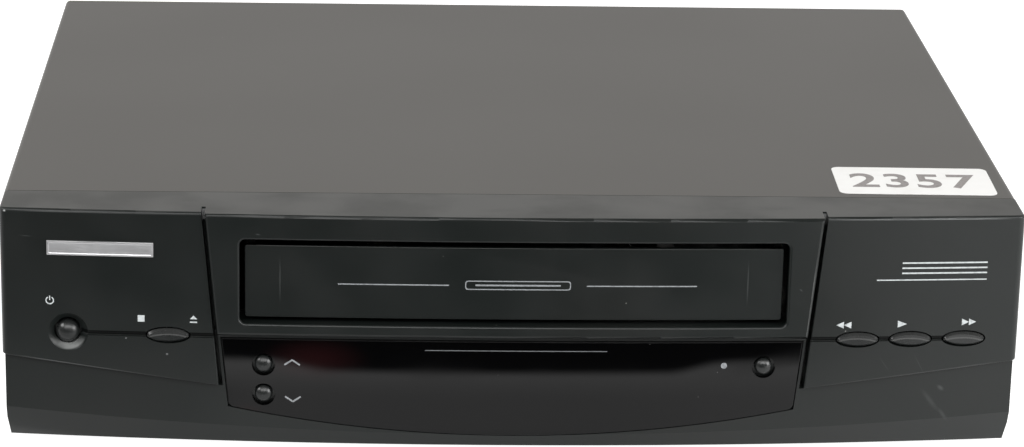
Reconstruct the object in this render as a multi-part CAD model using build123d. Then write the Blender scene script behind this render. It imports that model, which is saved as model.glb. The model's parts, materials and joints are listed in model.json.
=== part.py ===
from build123d import *
import math
import os

# Video cassette recorder of the centre-mount kind, in millimetres.
# X runs to the right, Z up, and depth is measured back from the middle of the front;
# finish() then moves every piece so that the origin is under the middle of the whole recorder.

# Driving dimensions of the case
body_width = 361.0
body_top = 90.0
overall_depth = 305.0
cover_rear = 300.0
foot_height = 6.0
sheet = 1.0
wall = 2.5
tray_half = body_width / 2 - sheet - 0.4
rear_inside = cover_rear - 3.4
socket_seat = cover_rear - 1.4

# The front panel's plan: every face is bowed to one radius, and the wings stand proud of the chin
bow_radius = 2600.0
panel_half = 179.3
wing_half = 180.2
chin_front = 3.6
wing_front = 1.8
ledge_rear = 28.2
seam_gap = 0.3

# The chin's lower edge is tucked back along a tighter bow, which leaves the leaning band
chin_bottom = 3.1
tuck_front = 5.9
tuck_radius = 1650.0
tuck_lean = 0.47
tuck_taper = 0.12
tuck_half = 178.4

# Centre panel, wings and the slots between them, seen from the front
centre_half_top = 108.4
centre_half_low = 104.3
centre_bottom = 45.5
centre_wall = 2.0
slot_width = 1.4
slot_depth = 11.0
wing_low_inner = 26.0
wing_low_outer = 35.8
line_height = 44.5
line_width = 1.5
line_depth = 0.7
panel_edge = 1.0
wing_corner = 2.5
wing_edge = 0.45

# Cassette opening and its flap
opening_half = 96.4
opening_low = 49.9
opening_high = 80.9
opening_corner = 2.2
opening_edge = 0.9
sleeve_half = 97.2
sleeve_wall = 1.6
sleeve_rear = 14.0
flap_half = 94.6
flap_low = 51.7
flap_high = 78.3
flap_front = 2.7
flap_thick = 2.0
flap_edge = 0.35
flap_axis_y = 6.6
flap_axis_z = 82.0
flap_pin = 1.5
flap_hub = 2.4
pin_reach = 100.0
cavity_half = 100.6
running_gap = 0.06

# Display window
window_top = 43.3
window_half_top = 103.0
window_half_low = 100.4
window_corner = 17.8
window_bottom = 7.9
window_proud = 0.3
window_thick = 2.0
window_gap = 0.35
window_edge = 0.3

# Buttons: place on the front and size
travel = 1.0
standby_x = -157.0
standby_z = 44.8
stop_x = -121.6
right_keys = {"rewind_button": 122.3, "play_button": 141.25, "fast_forward_button": 160.5}
key_half = 7.95
key_half_height = 3.1
key_gap = 0.6
key_proud = 0.7
collar_thick = 1.2
stem_radius = 1.6
round_keys = {
    "channel_up_button": (-88.1, 33.6),
    "channel_down_button": (-88.1, 22.4),
    "record_button": (89.3, 33.8),
}
round_hole = 4.1
round_cap = 3.15
round_ball = 3.7
dish_radius = 7.0
dish_ball = 8.6
standby_hole = 4.8
standby_cap = 4.0
standby_ball = 4.4
switch_face = 15.7
board_front = 20.0
board_thick = 1.6

# Boards on the tray
board_low = 12.0
board_top = board_low + board_thick

# Tape deck
deck_half = 105.0
deck_front = 84.0
deck_rear = 274.0
deck_low = 20.0
deck_top = 21.5
reel_x = 46.0
reel_y = 130.0
reel_reach = 17.3
drum_y = 230.0
drum_radius = 31.0
drum_tilt = 5.97
capstan_x = 62.0
capstan_y = 183.0
capstan_radius = 1.5
clutch_y = 160.0
clutch_gear = 8.0
clutch_wheel = 9.0
capstan_wheel = 7.0
belt_low = 9.6
belt_high = 12.6
idler_gear_radius = 16.0
tooth_gap = 0.3
tape_low = 34.0
tape_high = 48.0
guide_start = (34.0, 183.0)
guide_end = (42.0, 232.0)
pinch_pivot = (88.0, 200.0)
pinch_park = (62.4, 200.8)

# Cassette carriage: the basket drops in the slider's upright slots after the slider has run in
basket_front = 38.0
basket_depth = 100.0
basket_inner = 95.0
basket_low = 50.0
basket_high = 77.0
load_travel = 50.0
drop_travel = 22.0
slide_x = 98.6
side_x = 101.4
carriage_sheet = 1.2
basket_pins = (68.0, 94.0)
basket_pin_z = 66.0
slider_pins = (60.0, 102.0)
slider_pin_z = 74.0
pin_radius = 2.0
drive_y = 127.0
drive_z = 34.0
sector_radius = 18.0
pinion_radius = 4.7
sector_x = 110.0

# Sockets in the rear panel, by the middle of each
scart_x = -146.0
scart_heights = (24.0, 46.0)
aerial_x = -113.0
aerial_heights = (26.0, 50.0)
inlet_x = 140.0
inlet_z = 22.0


def block(x0, x1, y0, y1, z0, z1):
    """A box between two corners."""
    middle = Pos((x0 + x1) / 2, (y0 + y1) / 2, (z0 + z1) / 2)
    return middle * Box(x1 - x0, y1 - y0, z1 - z0)


def rod_x(x0, x1, y, z, r):
    return Pos((x0 + x1) / 2, y, z) * Rot(0, 90, 0) * Cylinder(r, x1 - x0)


def rod_y(x, y0, y1, z, r):
    return Pos(x, (y0 + y1) / 2, z) * Rot(90, 0, 0) * Cylinder(r, y1 - y0)


def rod_z(x, y, z0, z1, r):
    return Pos(x, y, (z0 + z1) / 2) * Cylinder(r, z1 - z0)


def both_sides(shape):
    """The shape with its mirror image across the middle of the recorder."""
    return shape + mirror(shape, Plane.YZ)


def bow(x):
    """How far the bowed front has swept back at x."""
    return x * x / (2 * bow_radius)


def slanted(z, top=centre_half_top, low=centre_half_low):
    """Half width of the centre panel at height z, along its leaning sides."""
    return low + (top - low) * (z - centre_bottom) / (body_top - centre_bottom)


def bowed_plan(half, front, rear, z, radius=bow_radius):
    """Plan outline at height z, with a bowed front edge and straight sides and rear."""
    corner = front + half * half / (2 * radius)
    outline = [
        ThreePointArc((-half, corner, z), (0, front, z), (half, corner, z)),
        Line((half, corner, z), (half, rear, z)),
        Line((half, rear, z), (-half, rear, z)),
        Line((-half, rear, z), (-half, corner, z)),
    ]
    return make_face(outline)


def bowed_slab(half, front, rear, z0, z1):
    return extrude(bowed_plan(half, front, rear, z0), amount=z1 - z0, dir=(0, 0, 1))


def front_prism(outline, y0, y1):
    """A closed outline seen from the front, given as edges at y = 0, run back from y0 to y1."""
    return Pos(0, y0, 0) * extrude(make_face(outline), amount=y1 - y0, dir=(0, 1, 0))


def front_polygon(points, y0, y1):
    corners = [(x, 0, z) for x, z in points]
    return front_prism(Polyline(*corners, close=True).edges(), y0, y1)


def chin_shape(inset, rear, top):
    """The bowed body of the front panel, tucked back at its foot, drawn in all round by inset."""
    low = chin_bottom + inset
    upright = bowed_slab(panel_half - inset, chin_front + inset, rear, low, top)
    rise = body_top + 10 - low
    half = tuck_half - inset
    front = tuck_front + inset * 1.1
    foot = bowed_plan(half, front, rear, low, tuck_radius)
    head_front = front - tuck_lean * rise
    head = bowed_plan(half + tuck_taper * rise, head_front, rear, low + rise, tuck_radius)
    return upright & loft([foot, head], ruled=True)


def wings():
    """Both outer panels, proud of the chin, with rounded outer corners and top edge."""
    slab = bowed_slab(wing_half, wing_front, ledge_rear, wing_low_inner - 2, body_top)
    corners = slab.edges().filter_by(Axis.Z).sort_by(Axis.Y)[:2]
    slab = fillet(corners, wing_corner)
    top_front = slab.edges().group_by(Axis.Z)[-1].sort_by(Axis.Y)[0]
    slab = fillet(top_front, panel_edge)
    inner_top = slanted(body_top) + slot_width
    inner_low = slanted(wing_low_inner) + slot_width
    points = [
        (inner_top, body_top + 5),
        (wing_half + 5, body_top + 5),
        (wing_half + 5, wing_low_outer + 0.65),
        (wing_half, wing_low_outer),
        (inner_low, wing_low_inner),
    ]
    wing = slab & front_polygon(points, -5, ledge_rear + 5)
    face = wing.faces().sort_by(Axis.Y)[0]
    slot_edge = face.edges().sort_by(Axis.X)[0]
    lower_edge = face.edges().sort_by(Axis.Z)[0]
    return both_sides(fillet([slot_edge, lower_edge], wing_edge))


def centre_panel():
    """The furthest forward panel, bowed like the rest, with the cassette opening in it."""
    top = slanted(body_top)
    points = [
        (-top, body_top),
        (top, body_top),
        (centre_half_low, centre_bottom),
        (-centre_half_low, centre_bottom),
    ]
    panel = front_polygon(points, -5, slot_depth + 1)
    panel &= bowed_slab(wing_half, 0, slot_depth + 1, 0, body_top)
    panel = fillet(panel.faces().sort_by(Axis.Y)[0].edges(), panel_edge)
    panel -= rounded_opening(opening_half, opening_low, opening_high, opening_corner, -5, 20)
    rim = panel.faces().sort_by(Axis.Y)[0].inner_wires()[0].edges()
    return fillet(rim, opening_edge)


def slot_cutter(extra, y0, y1, z0, z1):
    """The leaning slot beside the centre panel on the right, widened by extra on each side."""
    points = [
        (slanted(z0) - extra, z0),
        (slanted(z0) + slot_width + extra, z0),
        (slanted(z1) + slot_width + extra, z1),
        (slanted(z1) - extra, z1),
    ]
    return front_polygon(points, y0, y1)


def window_outline(grow):
    """The display window seen from the front: leaning sides and one long arc along the foot."""
    top = window_top + grow
    upper = window_half_top + grow
    lower = window_half_low + grow
    corner = window_corner - grow * 0.8
    sweep = ThreePointArc((lower, 0, corner), (0, 0, window_bottom - grow), (-lower, 0, corner))
    return [
        Line((-upper, 0, top), (upper, 0, top)),
        Line((upper, 0, top), (lower, 0, corner)),
        sweep,
        Line((-lower, 0, corner), (-upper, 0, top)),
    ]


def rounded_opening(half, low, high, radius, y0, y1):
    face = RectangleRounded(2 * half, high - low, radius)
    middle = Pos(0, y0, (low + high) / 2) * Rot(90, 0, 0)
    return extrude(middle * face, amount=y1 - y0, dir=(0, 1, 0))


def ellipse_prism(x, z, half_x, half_z, y0, y1):
    face = Pos(x, y0, z) * Rot(90, 0, 0) * Ellipse(half_x, half_z)
    return extrude(face, amount=y1 - y0, dir=(0, 1, 0))


def panel_lines():
    """The line through the oval keys on each wing: it slopes in and ends in a sharp lower lip."""
    low = line_height - line_width / 2
    high = line_height + line_width / 2
    foot = bowed_plan(wing_half + 5, wing_front + line_depth, ledge_rear, low)
    head = bowed_plan(wing_half + 5, wing_front, ledge_rear, high)
    kept = loft([foot, head], ruled=True)
    inner = slanted(line_height) + slot_width - 1
    left = block(standby_x, -inner, -1, 12, low, high)
    right = block(inner, right_keys["fast_forward_button"], -1, 12, low, high)
    return (left + right) - kept


def key_places():
    """Every oval key with its place across the front."""
    return {"stop_eject_button": stop_x, **right_keys}


def board_boss_places():
    return [(-168.0, 16.0), (-60.0, 11.0), (60.0, 11.0), (168.0, 16.0)]


def front_bezel():
    """The moulded front, one piece: chin, wings, centre panel, top ledge and all openings."""
    body = chin_shape(0, ledge_rear, body_top) + wings()
    body -= rounded_opening(opening_half + 2, opening_low - 2, opening_high + 2, 1.0, -5, 15)
    body += centre_panel()
    body -= chin_shape(wall, ledge_rear + 10, body_top - wall)
    body -= bowed_slab(cavity_half, centre_wall, 25, centre_bottom + 2, body_top - wall)
    # folded walls that carry the leaning slots
    ribs = slot_cutter(2.2, wing_front + 6, slot_depth + 2, wing_low_inner - 3, body_top - 1)
    body += both_sides(ribs)
    slots = slot_cutter(0, -5, slot_depth, wing_low_inner - 0.5, body_top + 5)
    body -= both_sides(slots)
    body -= panel_lines()
    body += opening_sleeve()
    body -= rod_x(-pin_reach - 0.3, pin_reach + 0.3, flap_axis_y, flap_axis_z, flap_pin + running_gap)
    # seat and opening for the display window
    seat = chin_front - window_proud + window_thick + 0.05
    seat_slab = bowed_slab(150, seat, 60, 0, 60)
    body -= front_prism(window_outline(window_gap), -5, 20) - seat_slab
    body -= front_prism(window_outline(-2.4), -5, 20)
    # holes for the keys on the wings
    for x in key_places().values():
        body -= ellipse_prism(x, line_height, key_half, key_half_height, -5, 20)
    face = wing_front + bow(standby_x)
    dish_middle = face - math.sqrt(dish_ball ** 2 - dish_radius ** 2)
    body -= Pos(standby_x, dish_middle, standby_z) * Sphere(dish_ball)
    body -= rod_y(standby_x, face - 5, 20, standby_z, standby_hole)
    # bosses for the front circuit board, and the tongue that lies under the top cover
    for x, z in board_boss_places():
        inner = chin_front + bow(x) + wall - 0.3
        body += rod_y(x, inner, board_front, z, 3.0)
        body -= rod_y(x, board_front - 8, board_front + 1, z, 1.1)
    lid_inside = body_top - sheet
    body += block(-170, 170, ledge_rear - 3, ledge_rear + 6, lid_inside - 2, lid_inside)
    # clips that hook under the front edge of the base
    for x in (-120, 0, 120):
        body += block(x - 7, x + 7, ledge_rear - 4, ledge_rear + 8, foot_height - 1.6, foot_height)
    return body


def opening_sleeve():
    """Walls that lead the cassette in behind the opening, with the ears that hold the flap."""
    top = body_top - 1.5
    low = opening_low - sleeve_wall
    outside = sleeve_half + sleeve_wall
    root = centre_wall + 1
    side = block(sleeve_half, outside, root, sleeve_rear, low, top)
    ear = block(sleeve_half, cavity_half, root, 10, flap_axis_z - 3.6, top)
    floor = bowed_slab(outside, centre_wall - 1, sleeve_rear, low, opening_low)
    return both_sides(side + ear) + floor


def cassette_flap():
    """The flap that hangs from two pins and swings inwards when a cassette is pushed in."""
    back = flap_front + flap_thick
    panel = rounded_opening(flap_half, flap_low, flap_high, 0.8, -5, 20)
    panel &= bowed_sheet(flap_front, back, flap_low, flap_high)
    panel = fillet(panel.faces().sort_by(Axis.Y)[0].edges(), flap_edge)
    arm_x = 91.0
    arm_root = back + bow(arm_x) - 0.8
    arm_profile = [
        (arm_root, flap_high - 8),
        (flap_axis_y + flap_hub - 0.1, flap_axis_z - 1),
        (flap_axis_y - flap_hub + 0.1, flap_axis_z - 1),
        (arm_root, flap_high - 1),
    ]
    corners = [(arm_x, y, z) for y, z in arm_profile]
    arm = extrude(make_face(Polyline(*corners, close=True)), amount=2.4, dir=(1, 0, 0))
    arm += rod_x(arm_x, arm_x + 2.4, flap_axis_y, flap_axis_z, flap_hub)
    arm += rod_x(arm_x + 2.2, pin_reach, flap_axis_y, flap_axis_z, flap_pin)
    stiffener = bowed_sheet(back - 0.2, back + 1.2, flap_low + 4, flap_low + 5.2)
    stiffener &= block(-90, 90, 0, 20, flap_low, flap_high)
    return panel + both_sides(arm) + stiffener


def bowed_sheet(front, back, z0, z1):
    """A sheet that follows the bow of the front between two depths."""
    return bowed_slab(150, front, 60, z0, z1) - bowed_slab(160, back, 70, z0 - 1, z1 + 1)


def flap_spring():
    """Torsion spring wound round the flap's left pin."""
    wire = 0.3
    turns = Helix(pitch=0.78, height=2.6, radius=2.15)
    start = Plane(origin=turns @ 0, z_dir=turns % 0)
    coil = sweep(start * Circle(wire), path=turns, is_frenet=True)
    return Pos(-94.1, flap_axis_y, flap_axis_z) * Rot(0, -90, 0) * coil


def display_window():
    """The smoked window: bowed like the chin, its foot one long arc, with three key holes."""
    front = chin_front - window_proud
    pane = front_prism(window_outline(0), -5, 20)
    pane = fillet(pane.edges().filter_by(Axis.Y).group_by(Axis.Z)[0], 2.4)
    pane &= bowed_sheet(front, front + window_thick, 0, 60)
    pane = fillet(pane.faces().sort_by(Axis.Y)[0].edges(), window_edge)
    for x, z in round_keys.values():
        pane -= rod_y(x, -5, 20, z, round_hole)
    return pane


def domed_key(x, z, cap, ball, tip, seat, collar):
    """A round key: a cap cut from a ball, a collar that holds it behind the panel, and a stem."""
    base = tip + ball - math.sqrt(ball ** 2 - cap ** 2)
    dome = Pos(x, tip + ball, z) * Sphere(ball)
    body = dome & rod_y(x, tip - 1, base, z, cap)
    body += rod_y(x, base, seat + collar_thick, z, cap)
    body += rod_y(x, seat, seat + collar_thick, z, collar)
    return body + key_stem(x, z, seat)


def key_stem(x, z, seat):
    """The stem that reaches from a key's collar to its switch."""
    return rod_y(x, seat + 1, switch_face - travel - 1.1, z, stem_radius)


def standby_button():
    collar = standby_hole + 1
    seat = chin_front + wall + bow(abs(standby_x) + collar) + 0.1
    tip = wing_front + bow(standby_x) - 1.2
    return domed_key(standby_x, standby_z, standby_cap, standby_ball, tip, seat, collar)


def round_button(x, z):
    """A small key in the display window."""
    face = chin_front - window_proud + bow(x)
    seat = face + window_thick + 0.4
    return domed_key(x, z, round_cap, round_ball, face - 0.9, seat, round_hole + 0.3)


def oval_key(x):
    """An oval key with a bevelled rim, a collar behind the wing and a stem."""
    face = wing_front + bow(x)
    seat = chin_front + wall + bow(abs(x) + key_half + 1) + 0.1
    half_x = key_half - key_gap
    half_z = key_half_height - key_gap
    back = seat + collar_thick
    body = ellipse_prism(x, line_height, half_x, half_z, face - key_proud, back)
    rim = body.edges().sort_by(Axis.Y)[0]
    body = chamfer(rim, 0.9, 0.75)
    collar = ellipse_prism(x, line_height, key_half + 1.0, key_half_height + 1.0, seat, back)
    return body + collar + key_stem(x, line_height, seat)


def top_cover():
    """Folded sheet-steel lid: top, two sides and a lip down the rear panel."""
    half = body_width / 2
    front = ledge_rear + seam_gap
    outer = block(-half, half, front, cover_rear, 8, body_top)
    outer = fillet(outer.edges().filter_by(Axis.Y).group_by(Axis.Z)[-1], 2.0)
    inner = block(-half + sheet, half - sheet, front - 1, cover_rear - sheet, 0, body_top - sheet)
    inner = fillet(inner.edges().filter_by(Axis.Y).group_by(Axis.Z)[-1], 1.0)
    lid = outer - inner
    lid -= block(-174, 174, cover_rear - 5, cover_rear + 1, 0, 79)
    for x, y, z in side_screw_places():
        lid -= rod_x(-half - 1, -half + 2, y, z, 1.75)
        lid -= rod_x(half - 2, half + 1, y, z, 1.75)
    for x, z in rear_screw_places():
        lid -= rod_y(x, cover_rear - 3, cover_rear + 1, z, 1.75)
    return lid


def side_screw_places():
    return [(body_width / 2, 58.0, 16.0), (body_width / 2, 262.0, 16.0)]


def rear_screw_places():
    return [(-150.0, 83.5), (0.0, 83.5), (150.0, 83.5)]


def cover_screws():
    """Pan-head screws: two on each side of the lid and three along its rear lip."""
    screws = []
    for x, y, z in side_screw_places():
        head = rod_x(x, x + 1.5, y, z, 3.4)
        head -= block(x + 0.8, x + 2, y - 0.5, y + 0.5, z - 2.4, z + 2.4)
        head -= block(x + 0.8, x + 2, y - 2.4, y + 2.4, z - 0.5, z + 0.5)
        one = head + rod_x(x - 8, x + 0.2, y, z, 1.5)
        screws += [one, mirror(one, Plane.YZ)]
    for x, z in rear_screw_places():
        head = rod_y(x, cover_rear, cover_rear + 1.5, z, 3.4)
        head -= block(x - 0.5, x + 0.5, cover_rear + 0.8, cover_rear + 2, z - 2.4, z + 2.4)
        head -= block(x - 2.4, x + 2.4, cover_rear + 0.8, cover_rear + 2, z - 0.5, z + 0.5)
        screws.append(head + rod_y(x, cover_rear - 8, cover_rear + 0.2, z, 1.5))
    return screws


def foot_places():
    return {
        "foot_front_left": (-150.0, 52.0),
        "foot_front_right": (150.0, 52.0),
        "foot_rear_left": (-150.0, 268.0),
        "foot_rear_right": (150.0, 268.0),
    }


def foot(x, y):
    """A moulded foot, slightly tapered, hollowed round its screw."""
    shape = Pos(x, y, foot_height / 2) * Cone(11.0, 12.5, foot_height)
    shape -= rod_z(x, y, -1, 3.2, 6.5)
    return shape - rod_z(x, y, -1, foot_height + 1, 1.6)


def deck_post_places():
    return [(-84.0, 92.0), (84.0, 92.0), (-84.0, 262.0), (84.0, 262.0)]


def chassis_base():
    """Folded steel tray that carries the boards, the deck and the feet."""
    half = tray_half
    front = ledge_rear + 1
    rear = rear_inside
    tray = block(-half, half, front, rear, foot_height, foot_height + sheet)
    tray += both_sides(block(half - sheet, half, front, rear, foot_height, 23))
    tray += block(-half, half, front, front + sheet, foot_height, 13)
    tray += block(-half, half, rear - sheet, rear, foot_height, 14)
    # ventilation slots under the boards
    for column in (-140.0, 140.0):
        for row in range(12):
            y = 96 + row * 9
            tray -= block(column - 20, column + 20, y, y + 3, 0, 10)
    for x, y in foot_places().values():
        tray -= rod_z(x, y, 0, 10, 1.6)
    for x, y, z in side_screw_places():
        tray -= rod_x(-half - 1, -half + 2, y, z, 1.7)
        tray -= rod_x(half - 2, half + 1, y, z, 1.7)
    # pillars for the deck
    for x, y in deck_post_places():
        tray += rod_z(x, y, foot_height, deck_low, 4.0)
        tray -= rod_z(x, y, deck_low - 10, deck_low + 1, 1.2)
    return tray


def rear_panel():
    """Moulded rear wall with the cut-outs for the sockets and a grille over the power supply."""
    front = rear_inside
    rear = cover_rear - sheet
    panel = block(-tray_half, tray_half, front, rear, 7.6, body_top - sheet - 0.4)
    for z in scart_heights:
        panel -= block(scart_x - 24.4, scart_x + 24.4, front - 1, rear + 1, z - 8.6, z + 8.6)
    for z in aerial_heights:
        panel -= rod_y(aerial_x, front - 1, rear + 1, z, 6.0)
    panel -= block(inlet_x - 10.5, inlet_x + 10.5, front - 1, rear + 1, inlet_z - 7, inlet_z + 7)
    for n in range(12):
        x = 60 + n * 6
        panel -= block(x, x + 2.5, front - 1, rear + 1, 48, 72)
    for x, z in rear_screw_places():
        panel -= rod_y(x, front - 1, rear + 1, z, 1.7)
    return panel


def scart_socket(z):
    """A 21-way audio and video socket: skewed shell, contact block and its slots."""
    points = [(-23.5, -7.5), (23.5, -7.5), (23.5, 3.2), (19.5, 7.5), (-23.5, 7.5)]
    placed = [(scart_x + x, z + dz) for x, dz in points]
    shell = front_polygon(placed, socket_seat - 18, socket_seat + 2.2)
    hollow = [(scart_x + x * 0.93, z + dz * 0.8) for x, dz in points]
    shell -= front_polygon(hollow, socket_seat - 7, socket_seat + 3)
    tongue = block(scart_x - 20, scart_x + 18, socket_seat - 8, socket_seat + 1, z - 3.6, z + 3.6)
    for n in range(10):
        x = scart_x - 18.6 + n * 3.8
        for row in (-2.6, 0.8):
            tongue -= block(x, x + 1.5, socket_seat - 3, socket_seat + 2, z + row, z + row + 1.8)
    return shell + tongue


def aerial_module():
    """Screened tuner can with its two aerial sockets."""
    can = block(aerial_x - 7.5, aerial_x + 7.5, 252, rear_inside, 19, 64)
    for z in aerial_heights:
        tube = rod_y(aerial_x, socket_seat - 3, overall_depth, z, 4.75)
        tube -= rod_y(aerial_x, socket_seat - 1, overall_depth + 1, z, 3.9)
        can += tube + rod_y(aerial_x, socket_seat - 2, overall_depth - 1, z, 1.2)
    return can


def mains_inlet():
    """Two-pin mains inlet with a figure-eight recess."""
    front = cover_rear - 24
    rear = cover_rear + 0.6
    body = block(inlet_x - 10, inlet_x + 10, front, rear, inlet_z - 6.5, inlet_z + 6.5)
    eight = block(inlet_x - 3.6, inlet_x + 3.6, rear - 12, rear + 1, inlet_z - 4, inlet_z + 4)
    eight += both_lobes(4.0, rear - 12, rear + 1)
    body -= eight
    return body + both_lobes(1.2, rear - 13, rear - 2)


def both_lobes(radius, y0, y1):
    half_pitch = 4.3
    left = rod_y(inlet_x - half_pitch, y0, y1, inlet_z, radius)
    return left + rod_y(inlet_x + half_pitch, y0, y1, inlet_z, radius)


def front_circuit_board():
    board = block(-174, 174, board_front, board_front + board_thick, 7.5, 48.5)
    for x, z in board_boss_places():
        board -= rod_y(x, board_front - 1, board_front + 3, z, 1.6)
    return board


def key_centres():
    ovals = [(x, line_height) for x in key_places().values()]
    return [(standby_x, standby_z), *ovals, *round_keys.values()]


def tact_switches():
    """One push switch on the board behind every key."""
    switches = []
    for x, z in key_centres():
        case = block(x - 3, x + 3, switch_face, board_front, z - 3, z + 3)
        switches.append(case + rod_y(x, switch_face - 1.0, switch_face + 0.2, z, 1.6))
    return switches


def display_module():
    """Fluorescent display in its carrier, with the infrared receiver beside it."""
    glass = block(-40, 40, 11.5, 17.3, 15, 36)
    carrier = block(-42, 42, 17.3, board_front, 13.5, 37.5)
    receiver = block(56, 64, 15, board_front, 24, 33) + Pos(60, 15.4, 28.5) * Sphere(2.6)
    return [glass + carrier, receiver]


def main_circuit_board():
    board = block(-174, -118, 40, 290, board_low, board_top)
    for x, y in board_post_places()[:3]:
        board -= rod_z(x, y, board_low - 2, board_top + 1, 1.6)
    return board


def power_circuit_board():
    board = block(118, 174, 150, 290, board_low, board_top)
    for x, y in board_post_places()[3:]:
        board -= rod_z(x, y, board_low - 2, board_top + 1, 1.6)
    return board


def board_post_places():
    return [(-122.5, 46.0), (-169.0, 150.0), (-122.5, 236.0), (122.5, 156.0), (169.0, 284.0)]


def board_posts():
    """Stand-offs with their screws, between the tray and the two boards."""
    low = foot_height + sheet
    posts = []
    for x, y in board_post_places():
        post = rod_z(x, y, low, board_low, 3.2) + rod_z(x, y, board_low - 0.5, board_top + 0.9, 1.4)
        posts.append(post + rod_z(x, y, board_top, board_top + 1.6, 2.6))
    return posts


def circuit_parts():
    """Chips, coils and capacitors on the main board, and the power board's three large cans."""
    parts = []
    for x, y, w, d, h in (
        (-146, 92, 38, 13, 4),
        (-150, 128, 14, 38, 4),
        (-132, 180, 12, 30, 9),
        (-156, 200, 20, 16, 12),
    ):
        parts.append(block(x - w / 2, x + w / 2, y - d / 2, y + d / 2, board_top, board_top + h))
    for n in range(4):
        x = -164 + (n % 2) * 14
        parts.append(rod_z(x, 56 + n * 7, board_top, board_top + 12, 4.0 - (n % 2)))
    for x, y in ((129, 170), (129, 189), (148, 172)):
        can = rod_z(x, y, board_top, 46, 8.5)
        parts.append(fillet(can.edges().group_by(Axis.Z)[-1], 1.2))
    return parts


def power_transformer():
    """Laminated core with two windows, lying on its frame."""
    core = block(124, 168, 216, 248, board_top, 50)
    for x in (135, 157):
        core -= block(x - 4, x + 4, 215, 249, 21, 43)
    return core


def transformer_winding():
    """Winding round the middle limb of the core, rounded where it turns outside the windows."""
    coil = block(131.4, 160.6, 208, 256, 21.4, 42.6)
    coil = fillet(coil.edges().filter_by(Axis.Z), 6.0)
    return coil - block(138.9, 153.1, 215.9, 248.1, 20, 44)


def heat_sink():
    sink = block(164, 167, 160, 196, board_top, 54)
    for n in range(7):
        y = 161 + n * 5.5
        sink += block(158, 173, y, y + 1.2, board_top, 54)
    return sink


def deck_plate():
    """The pressed steel plate that carries the tape path, with its posts and guide tracks."""
    plate = block(-deck_half, deck_half, deck_front, deck_rear, deck_low, deck_top)
    plate -= rod_z(0, drum_y, 18, 24, 25)
    for x, y in deck_post_places():
        plate -= rod_z(x, y, 18, 24, 1.6)
    for side in (-1, 1):
        plate += rod_z(side * reel_x, reel_y, deck_low, 33, 2.0)
        plate -= guide_track(side)
    # bearings of the clutch and the pinch arm, and the hole for the capstan's bearing
    plate += rod_z(0, clutch_y, 15, deck_low, 4.0)
    plate -= rod_z(0, clutch_y, 14, 24, 2.0 + running_gap)
    plate += rod_z(*pinch_pivot, deck_low, 53.6, 2.0)
    plate -= rod_z(capstan_x, capstan_y, 18, 24, 4.0)
    return plate


def guide_track(side):
    """The slot that a loading guide follows beside the drum."""
    (x0, y0), (x1, y1) = guide_start, guide_end
    length = math.hypot(x1 - x0, y1 - y0)
    angle = math.degrees(math.atan2(y1 - y0, x1 - x0))
    slot = Pos((x0 + x1) / 2, (y0 + y1) / 2, 18) * Rot(0, 0, angle) * SlotCenterToCenter(length, 5)
    track = extrude(slot, amount=6)
    return track if side > 0 else mirror(track, Plane.YZ)


def guide_carrier(side):
    """A flanged tape roller on its carrier, parked inside the cassette's mouth."""
    x, y = side * guide_start[0], guide_start[1]
    carrier = rod_z(x, y, deck_top + 0.1, deck_top + 3.5, 5.5)
    carrier += rod_z(x, y, deck_low - 1, deck_top + 1, 2.2)
    carrier += rod_z(x, y, deck_top + 3, tape_low, 1.6)
    carrier += rod_z(x, y, tape_low - 1, tape_low, 4.2)
    carrier += rod_z(x, y, tape_low, tape_high, 3.2)
    return carrier + rod_z(x, y, tape_high, tape_high + 1, 4.2)


def inner_screws():
    """Screws of the front board, the deck and the feet."""
    screws = []
    for x, z in board_boss_places():
        head = rod_y(x, board_front + board_thick, board_front + board_thick + 1.8, z, 2.8)
        screws.append(head + rod_y(x, board_front - 7, board_front + board_thick + 0.1, z, 1.0))
    for x, y in deck_post_places():
        head = rod_z(x, y, deck_top, deck_top + 2, 3.2)
        screws.append(head + rod_z(x, y, deck_low - 8, deck_top + 0.1, 1.1))
    for x, y in foot_places().values():
        screws.append(rod_z(x, y, 1.4, 3.2, 3.2) + rod_z(x, y, 3.0, 12.0, 1.4))
    return screws


def drum_frame(shape):
    """Leans a shape that was built round the upright Z axis into the drum's place."""
    return Pos(0, drum_y, deck_top) * Rot(-drum_tilt, 0, 0) * shape


def drum_base():
    """The fixed lower drum with its tape ledge, leaning on a round plinth, and its bearing."""
    base = rod_z(0, 0, 6.0, 22.0, drum_radius)
    base += rod_z(0, 0, 4.6, 9.0, drum_radius + 3)
    base -= rod_z(0, 0, 12.0, 23.0, drum_radius - 5)
    base += rod_z(0, 0, 11.0, 21.0, 8.0)
    placed = drum_frame(base) + rod_z(0, drum_y, deck_top, deck_top + 8, drum_radius - 3)
    return placed - drum_frame(rod_z(0, 0, -6, 30, 3.0 + running_gap))


def drum_rotor():
    """The spinning upper drum with its shaft and lightening holes."""
    rotor = rod_z(0, 0, 22.4, 38.0, drum_radius)
    rotor -= rod_z(0, 0, 34.0, 39.0, drum_radius - 4)
    rotor += rod_z(0, 0, 33.0, 41.0, 10.0)
    rotor += rod_z(0, 0, 1.0, 44.0, 3.0)
    for n in range(6):
        angle = math.radians(60 * n)
        rotor -= rod_z(19 * math.cos(angle), 19 * math.sin(angle), 20, 40, 4.0)
    return drum_frame(rotor)


def toothed_disc(x, y, z0, z1, reach, teeth):
    """A gear seen from above: a disc whose teeth reach out to the given radius."""
    depth = 1.6
    gear = rod_z(x, y, z0, z1, reach - depth)
    width = math.pi * (2 * reach - depth) / teeth * 0.5
    for n in range(teeth):
        tooth = Pos(reach - depth * 0.75, 0, (z0 + z1) / 2) * Box(depth * 1.5, width, z1 - z0)
        gear += Pos(x, y, 0) * Rot(0, 0, n * 360 / teeth) * tooth
    return gear


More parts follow.
